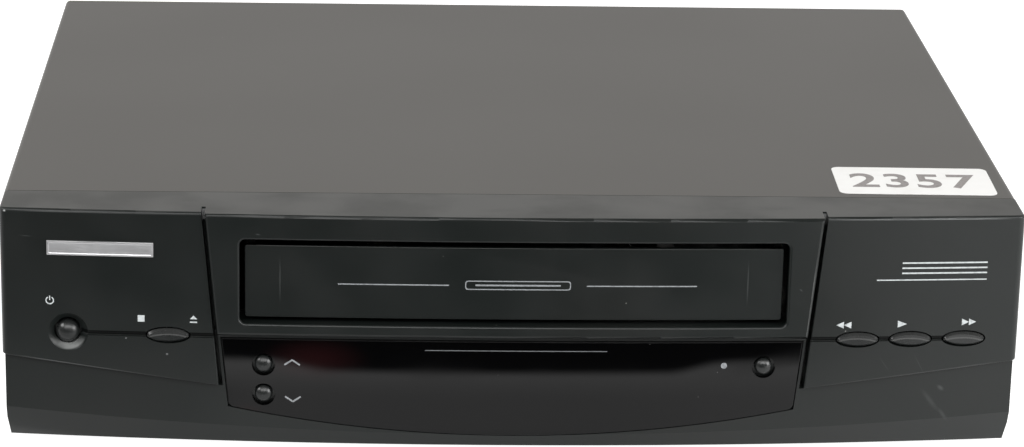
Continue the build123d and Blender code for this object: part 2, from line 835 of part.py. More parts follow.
def reel_table(side):
    """A reel table: toothed rim, hub and a three-finned spindle."""
    x = side * reel_x
    low = deck_top + 0.4
    table = toothed_disc(x, reel_y, low, low + 3.0, reel_reach, 32)
    table += rod_z(x, reel_y, low, low + 4.4, 12.0)
    table += rod_z(x, reel_y, low, 40.0, 4.2)
    for n in range(3):
        fin = Pos(4.4, 0, (low + 37) / 2) * Box(3.0, 1.6, 37 - low)
        table += Pos(x, reel_y, 0) * Rot(0, 0, n * 120 + 30) * fin
    return table - rod_z(x, reel_y, 0, 33.4, 2.0 + running_gap)


def clutch_pulley():
    """Belt pulley under the deck, with its shaft and the small gear above the deck."""
    pulley = rod_z(0, clutch_y, 9.0, 13.4, clutch_wheel) + rod_z(0, clutch_y, 9.0, 27.4, 2.0)
    return pulley + toothed_disc(0, clutch_y, deck_top + 0.4, deck_top + 3.0, clutch_gear, 16)


def idler_centre():
    return clutch_y - clutch_gear - idler_gear_radius - tooth_gap


def idler_arm():
    """Arm that swings about the clutch shaft and presses the idler gear to one reel or the other."""
    length = clutch_y - idler_centre()
    bar = SlotCenterToCenter(length, 7.0)
    middle = Pos(0, clutch_y - length / 2, deck_top + 3.8) * Rot(0, 0, 90)
    arm = extrude(middle * bar, amount=1.2)
    arm -= rod_z(0, clutch_y, 20, 30, 2.0 + running_gap)
    return arm + rod_z(0, idler_centre(), deck_top + 0.6, deck_top + 4.0, 1.5)


def idler_gear():
    low = deck_top + 0.5
    gear = toothed_disc(0, idler_centre(), low, low + 2.4, idler_gear_radius, 30)
    return gear - rod_z(0, idler_centre(), 20, 30, 1.5 + running_gap)


def capstan_bearing():
    """Bearing tube pressed into the deck."""
    tube = rod_z(capstan_x, capstan_y, deck_low - 1, deck_top + 6, 4.0)
    return tube - rod_z(capstan_x, capstan_y, 15, 40, capstan_radius + running_gap)


def capstan_flywheel():
    """Capstan shaft with its flywheel and belt pulley under the deck."""
    wheel = rod_z(capstan_x, capstan_y, 13.4, 18.4, 24.0)
    wheel -= rod_z(capstan_x, capstan_y, 12, 16.4, 20.0)
    wheel += rod_z(capstan_x, capstan_y, 9.0, 17.0, capstan_wheel)
    return wheel + rod_z(capstan_x, capstan_y, 9.0, tape_high + 1, capstan_radius)


def pinch_arm():
    """Arm that swings the pinch roller against the capstan."""
    (px, py), (rx, ry) = pinch_pivot, pinch_park
    length = math.hypot(px - rx, py - ry)
    angle = math.degrees(math.atan2(py - ry, px - rx))
    middle = Pos((px + rx) / 2, (py + ry) / 2, tape_high + 2) * Rot(0, 0, angle)
    arm = extrude(middle * SlotCenterToCenter(length, 9), amount=2.0)
    arm += rod_z(px, py, deck_top + 4, tape_high + 3, 4.0)
    arm -= rod_z(px, py, 20, 60, 2.0 + running_gap)
    return arm + rod_z(rx, ry, tape_low - 1, tape_high + 3, 1.5)


def pinch_roller():
    x, y = pinch_park
    roller = rod_z(x, y, tape_low, tape_high, 5.5)
    return roller - rod_z(x, y, 30, 60, 1.5 + running_gap)


def erase_head():
    head = block(-64, -52, 200, 210, tape_low - 2, tape_high)
    head = fillet(head.edges().filter_by(Axis.Z), 2.0)
    return head + rod_z(-58, 205, deck_top, tape_low - 1, 2.5)


def audio_head():
    """Audio and control head on its tilting plate and post."""
    head = block(51, 61, 211, 219, tape_low - 1, tape_high)
    head = fillet(head.edges().filter_by(Axis.Z), 1.5)
    plate = block(49, 63, 210, 220, tape_low - 3, tape_low - 1)
    return head + plate + rod_z(56, 215, deck_top, tape_low - 2, 2.5)


def carriage_side(side):
    """Fixed side plate with the long slot that the slider's pins run in."""
    outside = side_x + carriage_sheet
    plate = block(side_x, outside, 44, 196, deck_top, 84)
    plate = chamfer(plate.edges().filter_by(Axis.X).group_by(Axis.Y)[0], 8)
    plate += block(side_x - 8, outside, 90, 192, deck_top, deck_top + 1)
    low, high = slider_pins
    slot_half = pin_radius + 0.2
    slot_rear = high + load_travel + pin_radius + 0.4
    plate -= block(
        side_x - 1, outside + 1, low - pin_radius - 0.4, slot_rear,
        slider_pin_z - slot_half, slider_pin_z + slot_half,
    )
    plate -= block(side_x - 1, outside + 1, 60, 108, 32, 60)
    if side > 0:
        # pivot of the drive arm
        return plate + rod_x(side_x, sector_x + 1.8, drive_y, drive_z, 2.5)
    return mirror(plate, Plane.YZ)


def pinion_y():
    return drive_y + sector_radius + pinion_radius + tooth_gap


def loading_motor():
    """Geared motor on the outer face of the right side plate: gear case, can and output stub."""
    y = pinion_y()
    outside = side_x + carriage_sheet
    case = block(outside, outside + 4.9, y - 6.5, y + 10, drive_z - 10, drive_z + 11)
    case = fillet(case.edges().filter_by(Axis.X), 3.0)
    flange = block(outside, sector_x + 7, y + 8.5, y + 10, drive_z - 8, drive_z + 8)
    can = rod_y(sector_x, y + 9.5, y + 33, drive_z, 7.0)
    can = fillet(can.edges().group_by(Axis.Y)[-1], 1.5)
    return case + flange + can + rod_x(outside + 4, sector_x + 3, y, drive_z, 1.5)


def loading_pinion():
    """Pinion on the geared motor's stub, beside the toothed sector."""
    y = pinion_y()
    gear = rod_x(sector_x - 1.5, sector_x + 1.5, y, drive_z, pinion_radius - 1.4)
    for n in range(9):
        tooth = Pos(sector_x, pinion_radius - 1.0, 0) * Box(3.0, 2.0, 1.3)
        gear += Pos(0, y, drive_z) * Rot(n * 40, 0, 0) * tooth
    return gear - rod_x(sector_x - 3, sector_x + 4, y, drive_z, 1.5 + running_gap)


def carriage_drive_arm():
    """Slotted lever that draws the slider in, with the toothed sector that the pinion turns."""
    inner = side_x + carriage_sheet + 0.6
    reach = math.hypot(load_travel / 2, slider_pin_z - drive_z)
    lean = math.degrees(math.atan2(load_travel / 2, slider_pin_z - drive_z))
    slot_start = slider_pin_z - drive_z - pin_radius - 1.4
    blade = block(inner, inner + 1.6, -6.5, 6.5, 0, reach + 6.4)
    blade -= block(inner - 1, inner + 3, -3.2, 3.2, slot_start, reach + pin_radius + 1.4)
    blade = fillet(blade.edges().filter_by(Axis.X).group_by(Axis.Z)[-1], 5.0)
    blade = Rot(lean, 0, 0) * blade
    hub = rod_x(inner, sector_x + 1.5, 0, 0, 5.5)
    sector = rod_x(sector_x - 1.5, sector_x + 1.5, 0, 0, sector_radius - 1.6)
    pitch = 8.0
    for n in range(13):
        tooth = Pos(sector_x, sector_radius - 1.6, 0) * Box(3.0, 3.2, 1.25)
        sector += Rot((n - 6) * pitch + lean, 0, 0) * tooth
    keep = block(sector_x - 3, sector_x + 3, 2, sector_radius + 1, -16.5, 16.5)
    sector &= Rot(lean, 0, 0) * keep
    arm = blade + hub + sector
    arm -= rod_x(inner - 1, sector_x + 3, 0, 0, 2.5 + running_gap)
    return Pos(0, drive_y, drive_z) * arm


def carriage_bridge():
    """Fixed cross strap over the rear of the two side plates."""
    outside = side_x + carriage_sheet
    strap = block(-outside, outside, 176, 190, 84, 85.2)
    return strap - block(-60, 60, 180, 186, 83, 86)


def carriage_slider():
    """Sliding frame: two cheeks with upright slots, joined by a bar over the basket."""
    outside = slide_x + carriage_sheet
    cheek = block(slide_x, outside, 54, 108, 38, 81)
    cheek = fillet(cheek.edges().filter_by(Axis.X).group_by(Axis.Z)[0], 5.0)
    slot_half = pin_radius + 0.15
    for y in basket_pins:
        low = basket_pin_z - drop_travel - pin_radius - 0.2
        high = basket_pin_z + pin_radius + 0.2
        cheek -= block(slide_x - 1, outside + 1, y - slot_half, y + slot_half, low, high)
    for y in slider_pins:
        cheek += rod_x(slide_x + 0.5, side_x + 3.8, y, slider_pin_z, pin_radius)
    bar = block(-outside, outside, 74, 88, 80, 81)
    return both_sides(cheek) + bar


def cassette_basket():
    """Sheet-steel holder that carries the cassette: floor, side walls, top rails and pins."""
    rear = basket_front + basket_depth
    inner = basket_inner
    outside = inner + 0.8
    floor = block(-outside, outside, basket_front, rear, basket_low, basket_low + 0.8)
    for side in (-1, 1):
        x = side * reel_x
        floor -= block(x - 18, x + 18, basket_front + 26, rear + 1, basket_low - 1, basket_low + 2)
    floor -= block(-78, 78, rear - 14, rear + 1, basket_low - 1, basket_low + 2)
    sides = block(inner, outside, basket_front, rear, basket_low, basket_high)
    sides += block(inner - 12, outside, basket_front, rear, basket_high - 0.8, basket_high)
    for y in basket_pins:
        sides += rod_x(inner + 0.4, slide_x + 1.7, y, basket_pin_z, pin_radius)
    tie = block(-inner, inner, basket_front + 44, basket_front + 54, basket_high - 0.8, basket_high)
    return floor + both_sides(sides) + tie


def drive_belt():
    """Flat belt from the capstan's pulley to the clutch."""
    outer = belt_ring(tooth_gap + 1.0, belt_low, belt_high)
    return outer - belt_ring(tooth_gap, belt_low - 1, belt_high + 1)


def belt_ring(grow, z0, z1):
    """The outline round both pulleys, grown outwards."""
    big = clutch_wheel + grow
    small = capstan_wheel + grow
    dx = capstan_x
    dy = capstan_y - clutch_y
    gap = math.hypot(dx, dy)
    turn = math.atan2(dy, dx)
    lean = math.acos((big - small) / gap)
    corners = []
    for cx, cy, r in ((0, clutch_y, big), (capstan_x, capstan_y, small)):
        for side in (1, -1):
            a = turn + side * lean
            corners.append((cx + r * math.cos(a), cy + r * math.sin(a), z0))
    first, second, third, fourth = corners
    quad = make_face(Polyline(first, second, fourth, third, close=True))
    ring = extrude(quad, amount=z1 - z0, dir=(0, 0, 1))
    ring += rod_z(0, clutch_y, z0, z1, big)
    return ring + rod_z(capstan_x, capstan_y, z0, z1, small)


def finish(name, shape):
    """Moves a piece to the shared origin and writes it."""
    solids = shape if isinstance(shape, list) else [shape]
    moved = [Pos(0, -overall_depth / 2, 0) * s for s in solids]
    pieces = [solid for s in moved for solid in s.solids()]
    kept = pieces[0] if len(pieces) == 1 else Compound(children=pieces)
    export_step(kept, f"parts/{name}.step")
    return len(pieces)


def all_pieces():
    """Every node of the recorder by name."""
    pieces = {
        "front_bezel": front_bezel(),
        "cassette_flap": cassette_flap(),
        "flap_spring": flap_spring(),
        "display_window": display_window(),
        "standby_button": standby_button(),
        "top_cover": top_cover(),
        "cover_screws": cover_screws(),
        "chassis_base": chassis_base(),
        "inner_screws": inner_screws(),
        "rear_panel": rear_panel(),
        "scart_socket_upper": scart_socket(scart_heights[1]),
        "scart_socket_lower": scart_socket(scart_heights[0]),
        "aerial_module": aerial_module(),
        "mains_inlet": mains_inlet(),
        "front_circuit_board": front_circuit_board(),
        "tact_switches": tact_switches(),
        "display_module": display_module(),
        "main_circuit_board": main_circuit_board(),
        "power_circuit_board": power_circuit_board(),
        "board_posts": board_posts(),
        "circuit_parts": circuit_parts(),
        "power_transformer": power_transformer(),
        "transformer_winding": transformer_winding(),
        "heat_sink": heat_sink(),
        "deck_plate": deck_plate(),
        "drum_base": drum_base(),
        "drum_rotor": drum_rotor(),
        "supply_reel": reel_table(-1),
        "take_up_reel": reel_table(1),
        "supply_guide": guide_carrier(-1),
        "take_up_guide": guide_carrier(1),
        "capstan_bearing": capstan_bearing(),
        "capstan_flywheel": capstan_flywheel(),
        "pinch_arm": pinch_arm(),
        "pinch_roller": pinch_roller(),
        "erase_head": erase_head(),
        "audio_head": audio_head(),
        "loading_motor": loading_motor(),
        "loading_pinion": loading_pinion(),
        "carriage_drive_arm": carriage_drive_arm(),
        "carriage_side_left": carriage_side(-1),
        "carriage_side_right": carriage_side(1),
        "carriage_bridge": carriage_bridge(),
        "carriage_slider": carriage_slider(),
        "cassette_basket": cassette_basket(),
        "drive_belt": drive_belt(),
        "clutch_pulley": clutch_pulley(),
        "idler_arm": idler_arm(),
        "idler_gear": idler_gear(),
    }
    for name, x in key_places().items():
        pieces[name] = oval_key(x)
    for name, (x, z) in round_keys.items():
        pieces[name] = round_button(x, z)
    for name, (x, y) in foot_places().items():
        pieces[name] = foot(x, y)
    return pieces


os.makedirs("parts", exist_ok=True)
for name, shape in all_pieces().items():
    print(name, finish(name, shape))
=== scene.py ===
import bpy
import json
import math
from mathutils import Matrix, Vector


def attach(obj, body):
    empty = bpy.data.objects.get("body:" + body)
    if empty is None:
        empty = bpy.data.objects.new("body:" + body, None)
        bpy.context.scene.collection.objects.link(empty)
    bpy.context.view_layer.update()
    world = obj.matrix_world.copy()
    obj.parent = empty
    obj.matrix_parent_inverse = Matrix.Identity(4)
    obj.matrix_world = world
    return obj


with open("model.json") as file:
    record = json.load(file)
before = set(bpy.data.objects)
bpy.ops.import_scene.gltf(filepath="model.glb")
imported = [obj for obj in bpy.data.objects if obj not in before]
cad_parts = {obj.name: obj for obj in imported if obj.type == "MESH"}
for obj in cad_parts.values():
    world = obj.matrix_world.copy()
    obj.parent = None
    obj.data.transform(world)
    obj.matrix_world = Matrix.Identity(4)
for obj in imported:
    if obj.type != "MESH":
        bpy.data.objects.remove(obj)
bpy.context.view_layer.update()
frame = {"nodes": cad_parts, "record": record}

nodes = frame["nodes"]
scene = bpy.context.scene


# Node helpers, for materials and for the world

def newFinish(name, colour, roughness, metallic=0.0, **constants):
    material = bpy.data.materials.new(name)
    material.use_nodes = True
    shader = material.node_tree.nodes["Principled BSDF"]
    shader.inputs["Base Color"].default_value = (*colour, 1)
    shader.inputs["Roughness"].default_value = roughness
    shader.inputs["Metallic"].default_value = metallic
    for socket, value in constants.items():
        shader.inputs[socket.replace("_", " ")].default_value = value
    return material


def feed(material, source, socket):
    if isinstance(source, (int, float, tuple)):
        socket.default_value = source
    else:
        material.node_tree.links.new(source, socket)


def points(material, scale=(1, 1, 1), place=(0, 0, 0), turn=(0, 0, 0)):
    tree = material.node_tree
    coord = tree.nodes.new("ShaderNodeTexCoord")
    mapping = tree.nodes.new("ShaderNodeMapping")
    mapping.vector_type = "TEXTURE"
    mapping.inputs["Location"].default_value = place
    mapping.inputs["Rotation"].default_value = [math.radians(angle) for angle in turn]
    mapping.inputs["Scale"].default_value = scale
    tree.links.new(coord.outputs["Object"], mapping.inputs["Vector"])
    return mapping.outputs["Vector"]


def noise(material, size, detail=3.0, where=None):
    texture = material.node_tree.nodes.new("ShaderNodeTexNoise")
    texture.inputs["Scale"].default_value = 1 / size
    texture.inputs["Detail"].default_value = detail
    feed(material, where or points(material), texture.inputs["Vector"])
    return texture.outputs["Fac"]


def cells(material, size):
    texture = material.node_tree.nodes.new("ShaderNodeTexVoronoi")
    texture.inputs["Scale"].default_value = 1 / size
    feed(material, points(material), texture.inputs["Vector"])
    return texture.outputs


bandScale = 0.314  # scale of the wave texture at which one band is 1 m wide


def waves(material, size, direction, kind="BANDS", where=None, waver=0.0):
    texture = material.node_tree.nodes.new("ShaderNodeTexWave")
    texture.wave_type = kind
    if kind == "BANDS":
        texture.bands_direction = direction
    else:
        texture.rings_direction = direction
    texture.inputs["Scale"].default_value = bandScale / size
    texture.inputs["Distortion"].default_value = waver
    feed(material, where or points(material), texture.inputs["Vector"])
    return texture.outputs["Fac"]


def remap(material, value, low, high, toLow=0.0, toHigh=1.0):
    step = material.node_tree.nodes.new("ShaderNodeMapRange")
    step.interpolation_type = "SMOOTHSTEP"
    sources = {"Value": value, "From Min": low, "From Max": high, "To Min": toLow, "To Max": toHigh}
    for name, source in sources.items():
        feed(material, source, step.inputs[name])
    return step.outputs["Result"]


def combine(material, operation, first, second):
    step = material.node_tree.nodes.new("ShaderNodeMath")
    step.operation = operation
    feed(material, first, step.inputs[0])
    feed(material, second, step.inputs[1])
    return step.outputs[0]


def axis(material, name):
    split = material.node_tree.nodes.new("ShaderNodeSeparateXYZ")
    feed(material, points(material), split.inputs[0])
    return split.outputs[name]


def reachFrom(material, place, size, turn=(0, 0, 0)):
    measure = material.node_tree.nodes.new("ShaderNodeVectorMath")
    measure.operation = "LENGTH"
    feed(material, points(material, size, place, turn), measure.inputs[0])
    return measure.outputs["Value"]


def patch(material, place, size, turn=(0, 0, 0), *, soft):
    return remap(material, reachFrom(material, place, size, turn), 1.0, 1.0 - soft)


def panel(material, place, size, turn=(0, 0, 0), *, soft):
    reach = material.node_tree.nodes.new("ShaderNodeVectorMath")
    reach.operation = "ABSOLUTE"
    feed(material, points(material, size, place, turn), reach.inputs[0])
    split = material.node_tree.nodes.new("ShaderNodeSeparateXYZ")
    feed(material, reach.outputs["Vector"], split.inputs[0])
    level = combine(material, "MAXIMUM", split.outputs["X"], split.outputs["Y"])
    widest = combine(material, "MAXIMUM", level, split.outputs["Z"])
    return remap(material, widest, 1.0, 1.0 - soft)


def ringBand(material, place, size, inner, outer, soft):
    reach = reachFrom(material, place, size)
    outside = remap(material, reach, inner - soft, inner)
    inside = remap(material, reach, outer + soft, outer)
    return combine(material, "MULTIPLY", outside, inside)


def blendInto(material, socketName, factor, value):
    tree = material.node_tree
    socket = tree.nodes["Principled BSDF"].inputs[socketName]
    mix = tree.nodes.new("ShaderNodeMix")
    colour = socket.type == "RGBA"
    mix.data_type = "RGBA" if colour else "FLOAT"
    first, second, out = (6, 7, 2) if colour else (2, 3, 0)
    if socket.is_linked:
        tree.links.new(socket.links[0].from_socket, mix.inputs[first])
    else:
        mix.inputs[first].default_value = socket.default_value
    feed(material, (*value, 1) if isinstance(value, tuple) else value, mix.inputs[second])
    feed(material, factor, mix.inputs[0])
    tree.links.new(mix.outputs[out], socket)


def tint(material, mask, amount, colour):
    blendInto(material, "Base Color", combine(material, "MULTIPLY", mask, amount), colour)


def addBump(material, height, distance, strength=1.0):
    tree = material.node_tree
    socket = tree.nodes["Principled BSDF"].inputs["Normal"]
    bump = tree.nodes.new("ShaderNodeBump")
    bump.inputs["Strength"].default_value = strength
    bump.inputs["Distance"].default_value = distance
    if socket.is_linked:
        tree.links.new(socket.links[0].from_socket, bump.inputs["Normal"])
    feed(material, height, bump.inputs["Height"])
    tree.links.new(bump.outputs["Normal"], socket)


def addGrain(material, size, distance, strength=1.0):
    addBump(material, noise(material, size, 2.0), distance, strength)


def addDust(material, spacing, radius, share, colour, amount):
    core = 0.4  # part of a speck that is solid
    dullness = 0.8
    speck = cells(material, spacing)
    split = material.node_tree.nodes.new("ShaderNodeSeparateColor")
    feed(material, speck["Color"], split.inputs[0])
    chosen = combine(material, "LESS_THAN", split.outputs[0], share)
    near = remap(material, speck["Distance"], radius / spacing, core * radius / spacing)
    factor = combine(material, "MULTIPLY", combine(material, "MULTIPLY", near, chosen), amount)
    blendInto(material, "Base Color", factor, colour)
    blendInto(material, "Roughness", factor, dullness)


def addCloud(material, size, socketName, value, low=0.4, high=0.65, amount=1.0):
    factor = remap(material, noise(material, size, 4.0), low, high, 0.0, amount)
    blendInto(material, socketName, factor, value)


def addBrush(material, direction, size, distance):
    stretch = 40
    scale = tuple(stretch if name == direction else 1 for name in "XYZ")
    streaks = noise(material, size, 2.0, points(material, scale))
    addBump(material, streaks, distance)
    blendInto(material, "Roughness", remap(material, streaks, 0.3, 0.7, 0.0, 0.4), 0.15)


# Camera

cameraSetup = {
    "place": (-0.05585, -1.30971, 0.46174),  # solved from the straight edges of the recorder
    "yaw": -2.6852,
    "pitch": 17.868,
    "roll": 1.2865,
    "lens": 122.87,
    "sensor": 36.0,
}


def addCamera(setup):
    yaw = math.radians(setup["yaw"])
    pitch = math.radians(setup["pitch"])
    roll = math.radians(setup["roll"])
    right = Vector((math.cos(yaw), math.sin(yaw), 0))
    ahead = Vector((
        -math.sin(yaw) * math.cos(pitch),
        math.cos(yaw) * math.cos(pitch),
        -math.sin(pitch),
    ))
    up = right.cross(ahead)
    turnedRight = right * math.cos(roll) + up * math.sin(roll)
    turnedUp = up * math.cos(roll) - right * math.sin(roll)
    data = bpy.data.cameras.new("photoCamera")
    data.lens = setup["lens"]
    data.sensor_width = setup["sensor"]
    data.sensor_fit = "HORIZONTAL"
    data.clip_start = 0.01
    camera = bpy.data.objects.new("photoCamera", data)
    scene.collection.objects.link(camera)
    turn = Matrix((turnedRight, turnedUp, -ahead)).transposed().to_4x4()
    camera.matrix_world = Matrix.Translation(setup["place"]) @ turn
    scene.camera = camera


# Light: softboxes at both sides and above the front, a pale room behind, and a dark ceiling

softboxes = {
    "leftSoftbox": {"place": (-1.1, -0.51, 0.84), "size": (0.6, 0.5), "power": 8.0},
    "rightSoftbox": {"place": (1.0, -0.7, 0.46), "size": (0.6, 0.6), "power": 10.5},
    "frontSoftbox": {"place": (0.0, -1.12, 0.86), "size": (1.6, 0.6), "power": 15.0},
}
roomLight = {
    "colour": (1.0, 0.98, 0.95),
    "front": 0.06,
    "frontHigh": 0.5,
    "frontRise": (0.5, 0.8),
    "left": 0.3,
    "leftRise": (-0.95, -0.6),
    "right": 0.55,
    "rightRise": (0.55, 0.95),
    "rear": 0.96,
    "rearRise": (-0.1, 0.2),
    "ceiling": 0.22,
    "ceilingRise": (0.72, 0.88),
}


def addSoftbox(name, setup):
    data = bpy.data.lights.new(name, "AREA")
    data.shape = "RECTANGLE"
    data.size, data.size_y = setup["size"]
    data.energy = setup["power"]
    lamp = bpy.data.objects.new(name, data)
    lamp.location = setup["place"]
    lamp.rotation_euler = (-Vector(setup["place"])).to_track_quat("-Z", "Y").to_euler()
    scene.collection.objects.link(lamp)


def addRoomLight(setup):
    world = bpy.data.worlds.new("studio")
    scene.world = world
    world.use_nodes = True
    tree = world.node_tree
    coord = tree.nodes.new("ShaderNodeTexCoord")
    split = tree.nodes.new("ShaderNodeSeparateXYZ")
    tree.links.new(coord.outputs["Generated"], split.inputs[0])
    across, along, high = split.outputs["X"], split.outputs["Y"], split.outputs["Z"]
    front = remap(world, high, *setup["frontRise"], setup["front"], setup["frontHigh"])
    leftSide = remap(world, across, *setup["leftRise"], setup["left"], front)
    bothSides = remap(world, across, *setup["rightRise"], leftSide, setup["right"])
    around = remap(world, along, *setup["rearRise"], bothSides, setup["rear"])
    upward = remap(world, high, *setup["ceilingRise"], around, setup["ceiling"])
    tree.nodes["Background"].inputs["Color"].default_value = (*setup["colour"], 1)
    tree.links.new(upward, tree.nodes["Background"].inputs["Strength"])


addCamera(cameraSetup)
addRoomLight(roomLight)
for name, setup in softboxes.items():
    addSoftbox(name, setup)
scene.view_settings.view_transform = "Standard"


# Floor, and a flag that keeps the far floor out of the gloss of the front; near the front the flag
# also carries a painted contact shadow that only reflections see

floorSetup = {"size": 6.0, "paper": (0.35, 0.35, 0.35), "roughness": 0.9, "glow": 1.0}
flagSetup = {
    "size": 2.4,
    "place": (0, -1.34, 0.0012),
    "black": (0.004, 0.004, 0.004),
    "edge": -0.2245,
    "sideEdge": -0.235,
    "leftTurn": (-0.095, -0.068),
    "rightTurn": (0.066, 0.092),
    "ramp": 0.012,
    "end": (0.125, 0.21),
    # foot and toe: painted contact shadow of the recorder on the floor, seen only in reflections
    "footShade": 0.60,
    "footMiddle": 0.30,
    "footStep": (-0.128, -0.098),
    "footReach": (-0.240, -0.200),
    "footEnd": (0.02, 0.22),
    "toeShade": 0.42,
    "toeReach": (-0.174, -0.162),
}


def addFloor(setup):
    bpy.ops.object.select_all(action="DESELECT")
    bpy.ops.mesh.primitive_plane_add(size=setup["size"], location=(0, 0, 0))
    floor = bpy.context.object
    floor.name = "floor"
    paper = newFinish(
        "floorPaper", setup["paper"], setup["roughness"],
        Emission_Color=(1, 1, 1, 1), Emission_Strength=setup["glow"],
    )
    floor.data.materials.append(paper)


def addFlag(setup):
    bpy.ops.object.select_all(action="DESELECT")
    bpy.ops.mesh.primitive_plane_add(size=setup["size"], location=setup["place"])
    flag = bpy.context.object
    flag.name = "blackFlag"
    bpy.ops.object.transform_apply(location=True)
    cloth = newFinish("flagCloth", setup["black"], 0.5, Specular_IOR_Level=0.0)
    across = axis(cloth, "X")
    along = axis(cloth, "Y")
    left = remap(cloth, across, *setup["leftTurn"], setup["sideEdge"], setup["edge"])
    edge = remap(cloth, across, *setup["rightTurn"], left, setup["sideEdge"])
    fade = remap(cloth, across, *setup["end"], 1.0, 0.0)
    far = remap(cloth, combine(cloth, "SUBTRACT", edge, along), 0.0, setup["ramp"], 0.0, fade)
    # painted contact shadow near the front, strongest at the left
    middle = remap(cloth, across, *setup["footEnd"], setup["footMiddle"], 0.0)
    foot = remap(cloth, across, *setup["footStep"], setup["footShade"], middle)
    toe = remap(cloth, across, *setup["footEnd"], setup["toeShade"], 0.0)
    close = remap(cloth, along, *setup["toeReach"], foot, toe)
    near = remap(cloth, along, *setup["footReach"], 0.0, close)
    shader = cloth.node_tree.nodes["Principled BSDF"]
    feed(cloth, combine(cloth, "MAXIMUM", far, near), shader.inputs["Alpha"])
    flag.data.materials.append(cloth)
    flag.visible_camera = False
    flag.visible_diffuse = False
    flag.visible_shadow = False


addFloor(floorSetup)
addFlag(flagSetup)
print("camera, light and floor ready")


# Front plastic: its scratches, painted shade and highlight along the groove that joins the keys,
# and painted highlights on its edges, slot tops, dish, corner and creases

frontDepth = -0.149
throughFront = 0.02  # half depth of a mask that has its outline in x and z
endless = 5.0  # the same for a ring, which narrows with depth
frontScratches = (  # place, size, tilt, strength
    ((-0.1220, -0.1495, 0.0374), (0.0006, 0.02, 0.0005), 0, 0.35),
    ((-0.1364, -0.1489, 0.0430), (0.0005, 0.02, 0.0004), 0, 0.3),
    ((0.1536, -0.146, 0.0252), (0.0020, 0.03, 0.0012), 40, 0.07),
    ((0.1500, -0.146, 0.0205), (0.0070, 0.03, 0.0013), 52, 0.035),
    ((0.1550, -0.146, 0.0150), (0.0040, 0.03, 0.0010), 56, 0.045),
    ((0.1010, -0.1500, 0.0638), (0.0010, 0.02, 0.0003), 40, 0.12),
    ((0.1450, -0.1490, 0.0350), (0.0060, 0.02, 0.00022), 62, 0.05),
    ((0.1325, -0.1490, 0.0350), (0.0045, 0.02, 0.00022), 55, 0.05),
    ((-0.0900, -0.1510, 0.0830), (0.0012, 0.02, 0.0003), 10, 0.10),
    ((-0.1710, -0.1470, 0.0800), (0.0030, 0.02, 0.00025), 5, 0.06),
)
scratchColour = (0.35, 0.36, 0.36)
# painted shade along the groove that joins the keys (dark), and a painted highlight on its lower
# edge (lip)
keyGrooveShadeAndHighlight = {
    "spans": ((-0.1560, -0.0960), (0.0960, 0.1600)),
    "dark": {
        "z": 0.0450,
        "half": 0.00075,
        "soft": 0.25,
        "amount": 0.75,
        "colour": (0.0015, 0.0016, 0.0016),
    },
    "lip": {
        "z": 0.04398,
        "half": 0.00016,
        "soft": 0.4,
        "amount": 0.5,
        "colour": (0.055, 0.056, 0.055),
    },
}
# painted highlight along the top front edge of both wings
topEdgeHighlight = {
    "size": (0.0385, throughFront, 0.00030),
    "colour": (0.13, 0.135, 0.135),
    "sides": (  # middle, tilt, growth of the shine along x
        ((-0.1410, -0.150, 0.08912), 0, (-0.180, -0.100, 0.30, 0.05)),
        ((0.1410, -0.150, 0.08912), 0, (0.100, 0.180, 0.22, 0.85)),
    ),
}
# painted highlight along the lower edge of each wing
wingHemHighlight = {
    "size": (0.0378, throughFront, 0.00026),
    "colour": (0.055, 0.057, 0.057),
    "sides": (
        ((-0.1418, -0.150, 0.03118), 7.44, (-0.176, -0.110, 0.9, 0.0)),
        ((0.1418, -0.150, 0.03118), -7.44, (0.100, 0.176, 0.15, 0.45)),
    ),
}
# painted light on the upper walls of the two slots beside the centre panel
slotTopLight = {
    "places": ((-0.1090, -0.1417, 0.0874), (0.1094, -0.1417, 0.0874)),
    "size": (0.0022, 0.0016, 0.0022),
    "colour": (0.22, 0.225, 0.225),
}
dishShine = {
    "place": (-0.1570, frontDepth, 0.0448),
    "size": (0.0066, endless, 0.0066),
    "band": (0.66, 0.95, 0.10),  # inner, outer, softness
    "drop": (0.0432, 0.0398),
    "growth": (-0.1625, -0.1550, 0.25, 1.0),
    "amount": 0.9,
    "colour": (0.16, 0.165, 0.162),
}
cornerGlint = {
    "place": (-0.1783, -0.1470, 0.0890),
    "size": (0.0009, 0.004, 0.0007),
    "colour": (0.75, 0.76, 0.76),
}
# painted highlights: two faint light lines down the flap where creases would catch the light
creaseLineHighlights = {
    "places": ((-0.0823, frontDepth, 0.0655), (0.0823, frontDepth, 0.0655)),
    "size": (0.00035, throughFront, 0.0105),
    "amount": 0.10,
    "colour": (0.2, 0.21, 0.21),
}


# paints the groove's shade and its lower edge's highlight into the base colour; the shaded band is
# also made metallic
def addKeyGrooveShadeAndHighlight(material, setup):
    dark, lip = setup["dark"], setup["lip"]
    for start, end in setup["spans"]:
        middle = (start + end) / 2
        half = (end - start) / 2
        for band in (dark, lip):
            place = (middle, frontDepth, band["z"])
            size = (half, throughFront, band["half"])
            line = panel(material, place, size, soft=band["soft"])
            tint(material, line, band["amount"], band["colour"])
            if band is dark:
                dull = combine(material, "MULTIPLY", line, band["amount"])
                blendInto(material, "Metallic", dull, 1.0)  # metal this dark has no gloss


def addEdgeShine(material, setup):
    for middle, tilt, growth in setup["sides"]:
        edge = panel(material, middle, setup["size"], (0, tilt, 0), soft=0.5)
        tint(material, edge, remap(material, axis(material, "X"), *growth), setup["colour"])


def addDishShine(material, setup):
    ring = ringBand(material, setup["place"], setup["size"], *setup["band"])
    lower = remap(material, axis(material, "Z"), *setup["drop"])
    rightward = remap(material, axis(material, "X"), *setup["growth"])
    shine = combine(material, "MULTIPLY", ring, combine(material, "MULTIPLY", lower, rightward))
    tint(material, shine, setup["amount"], setup["colour"])


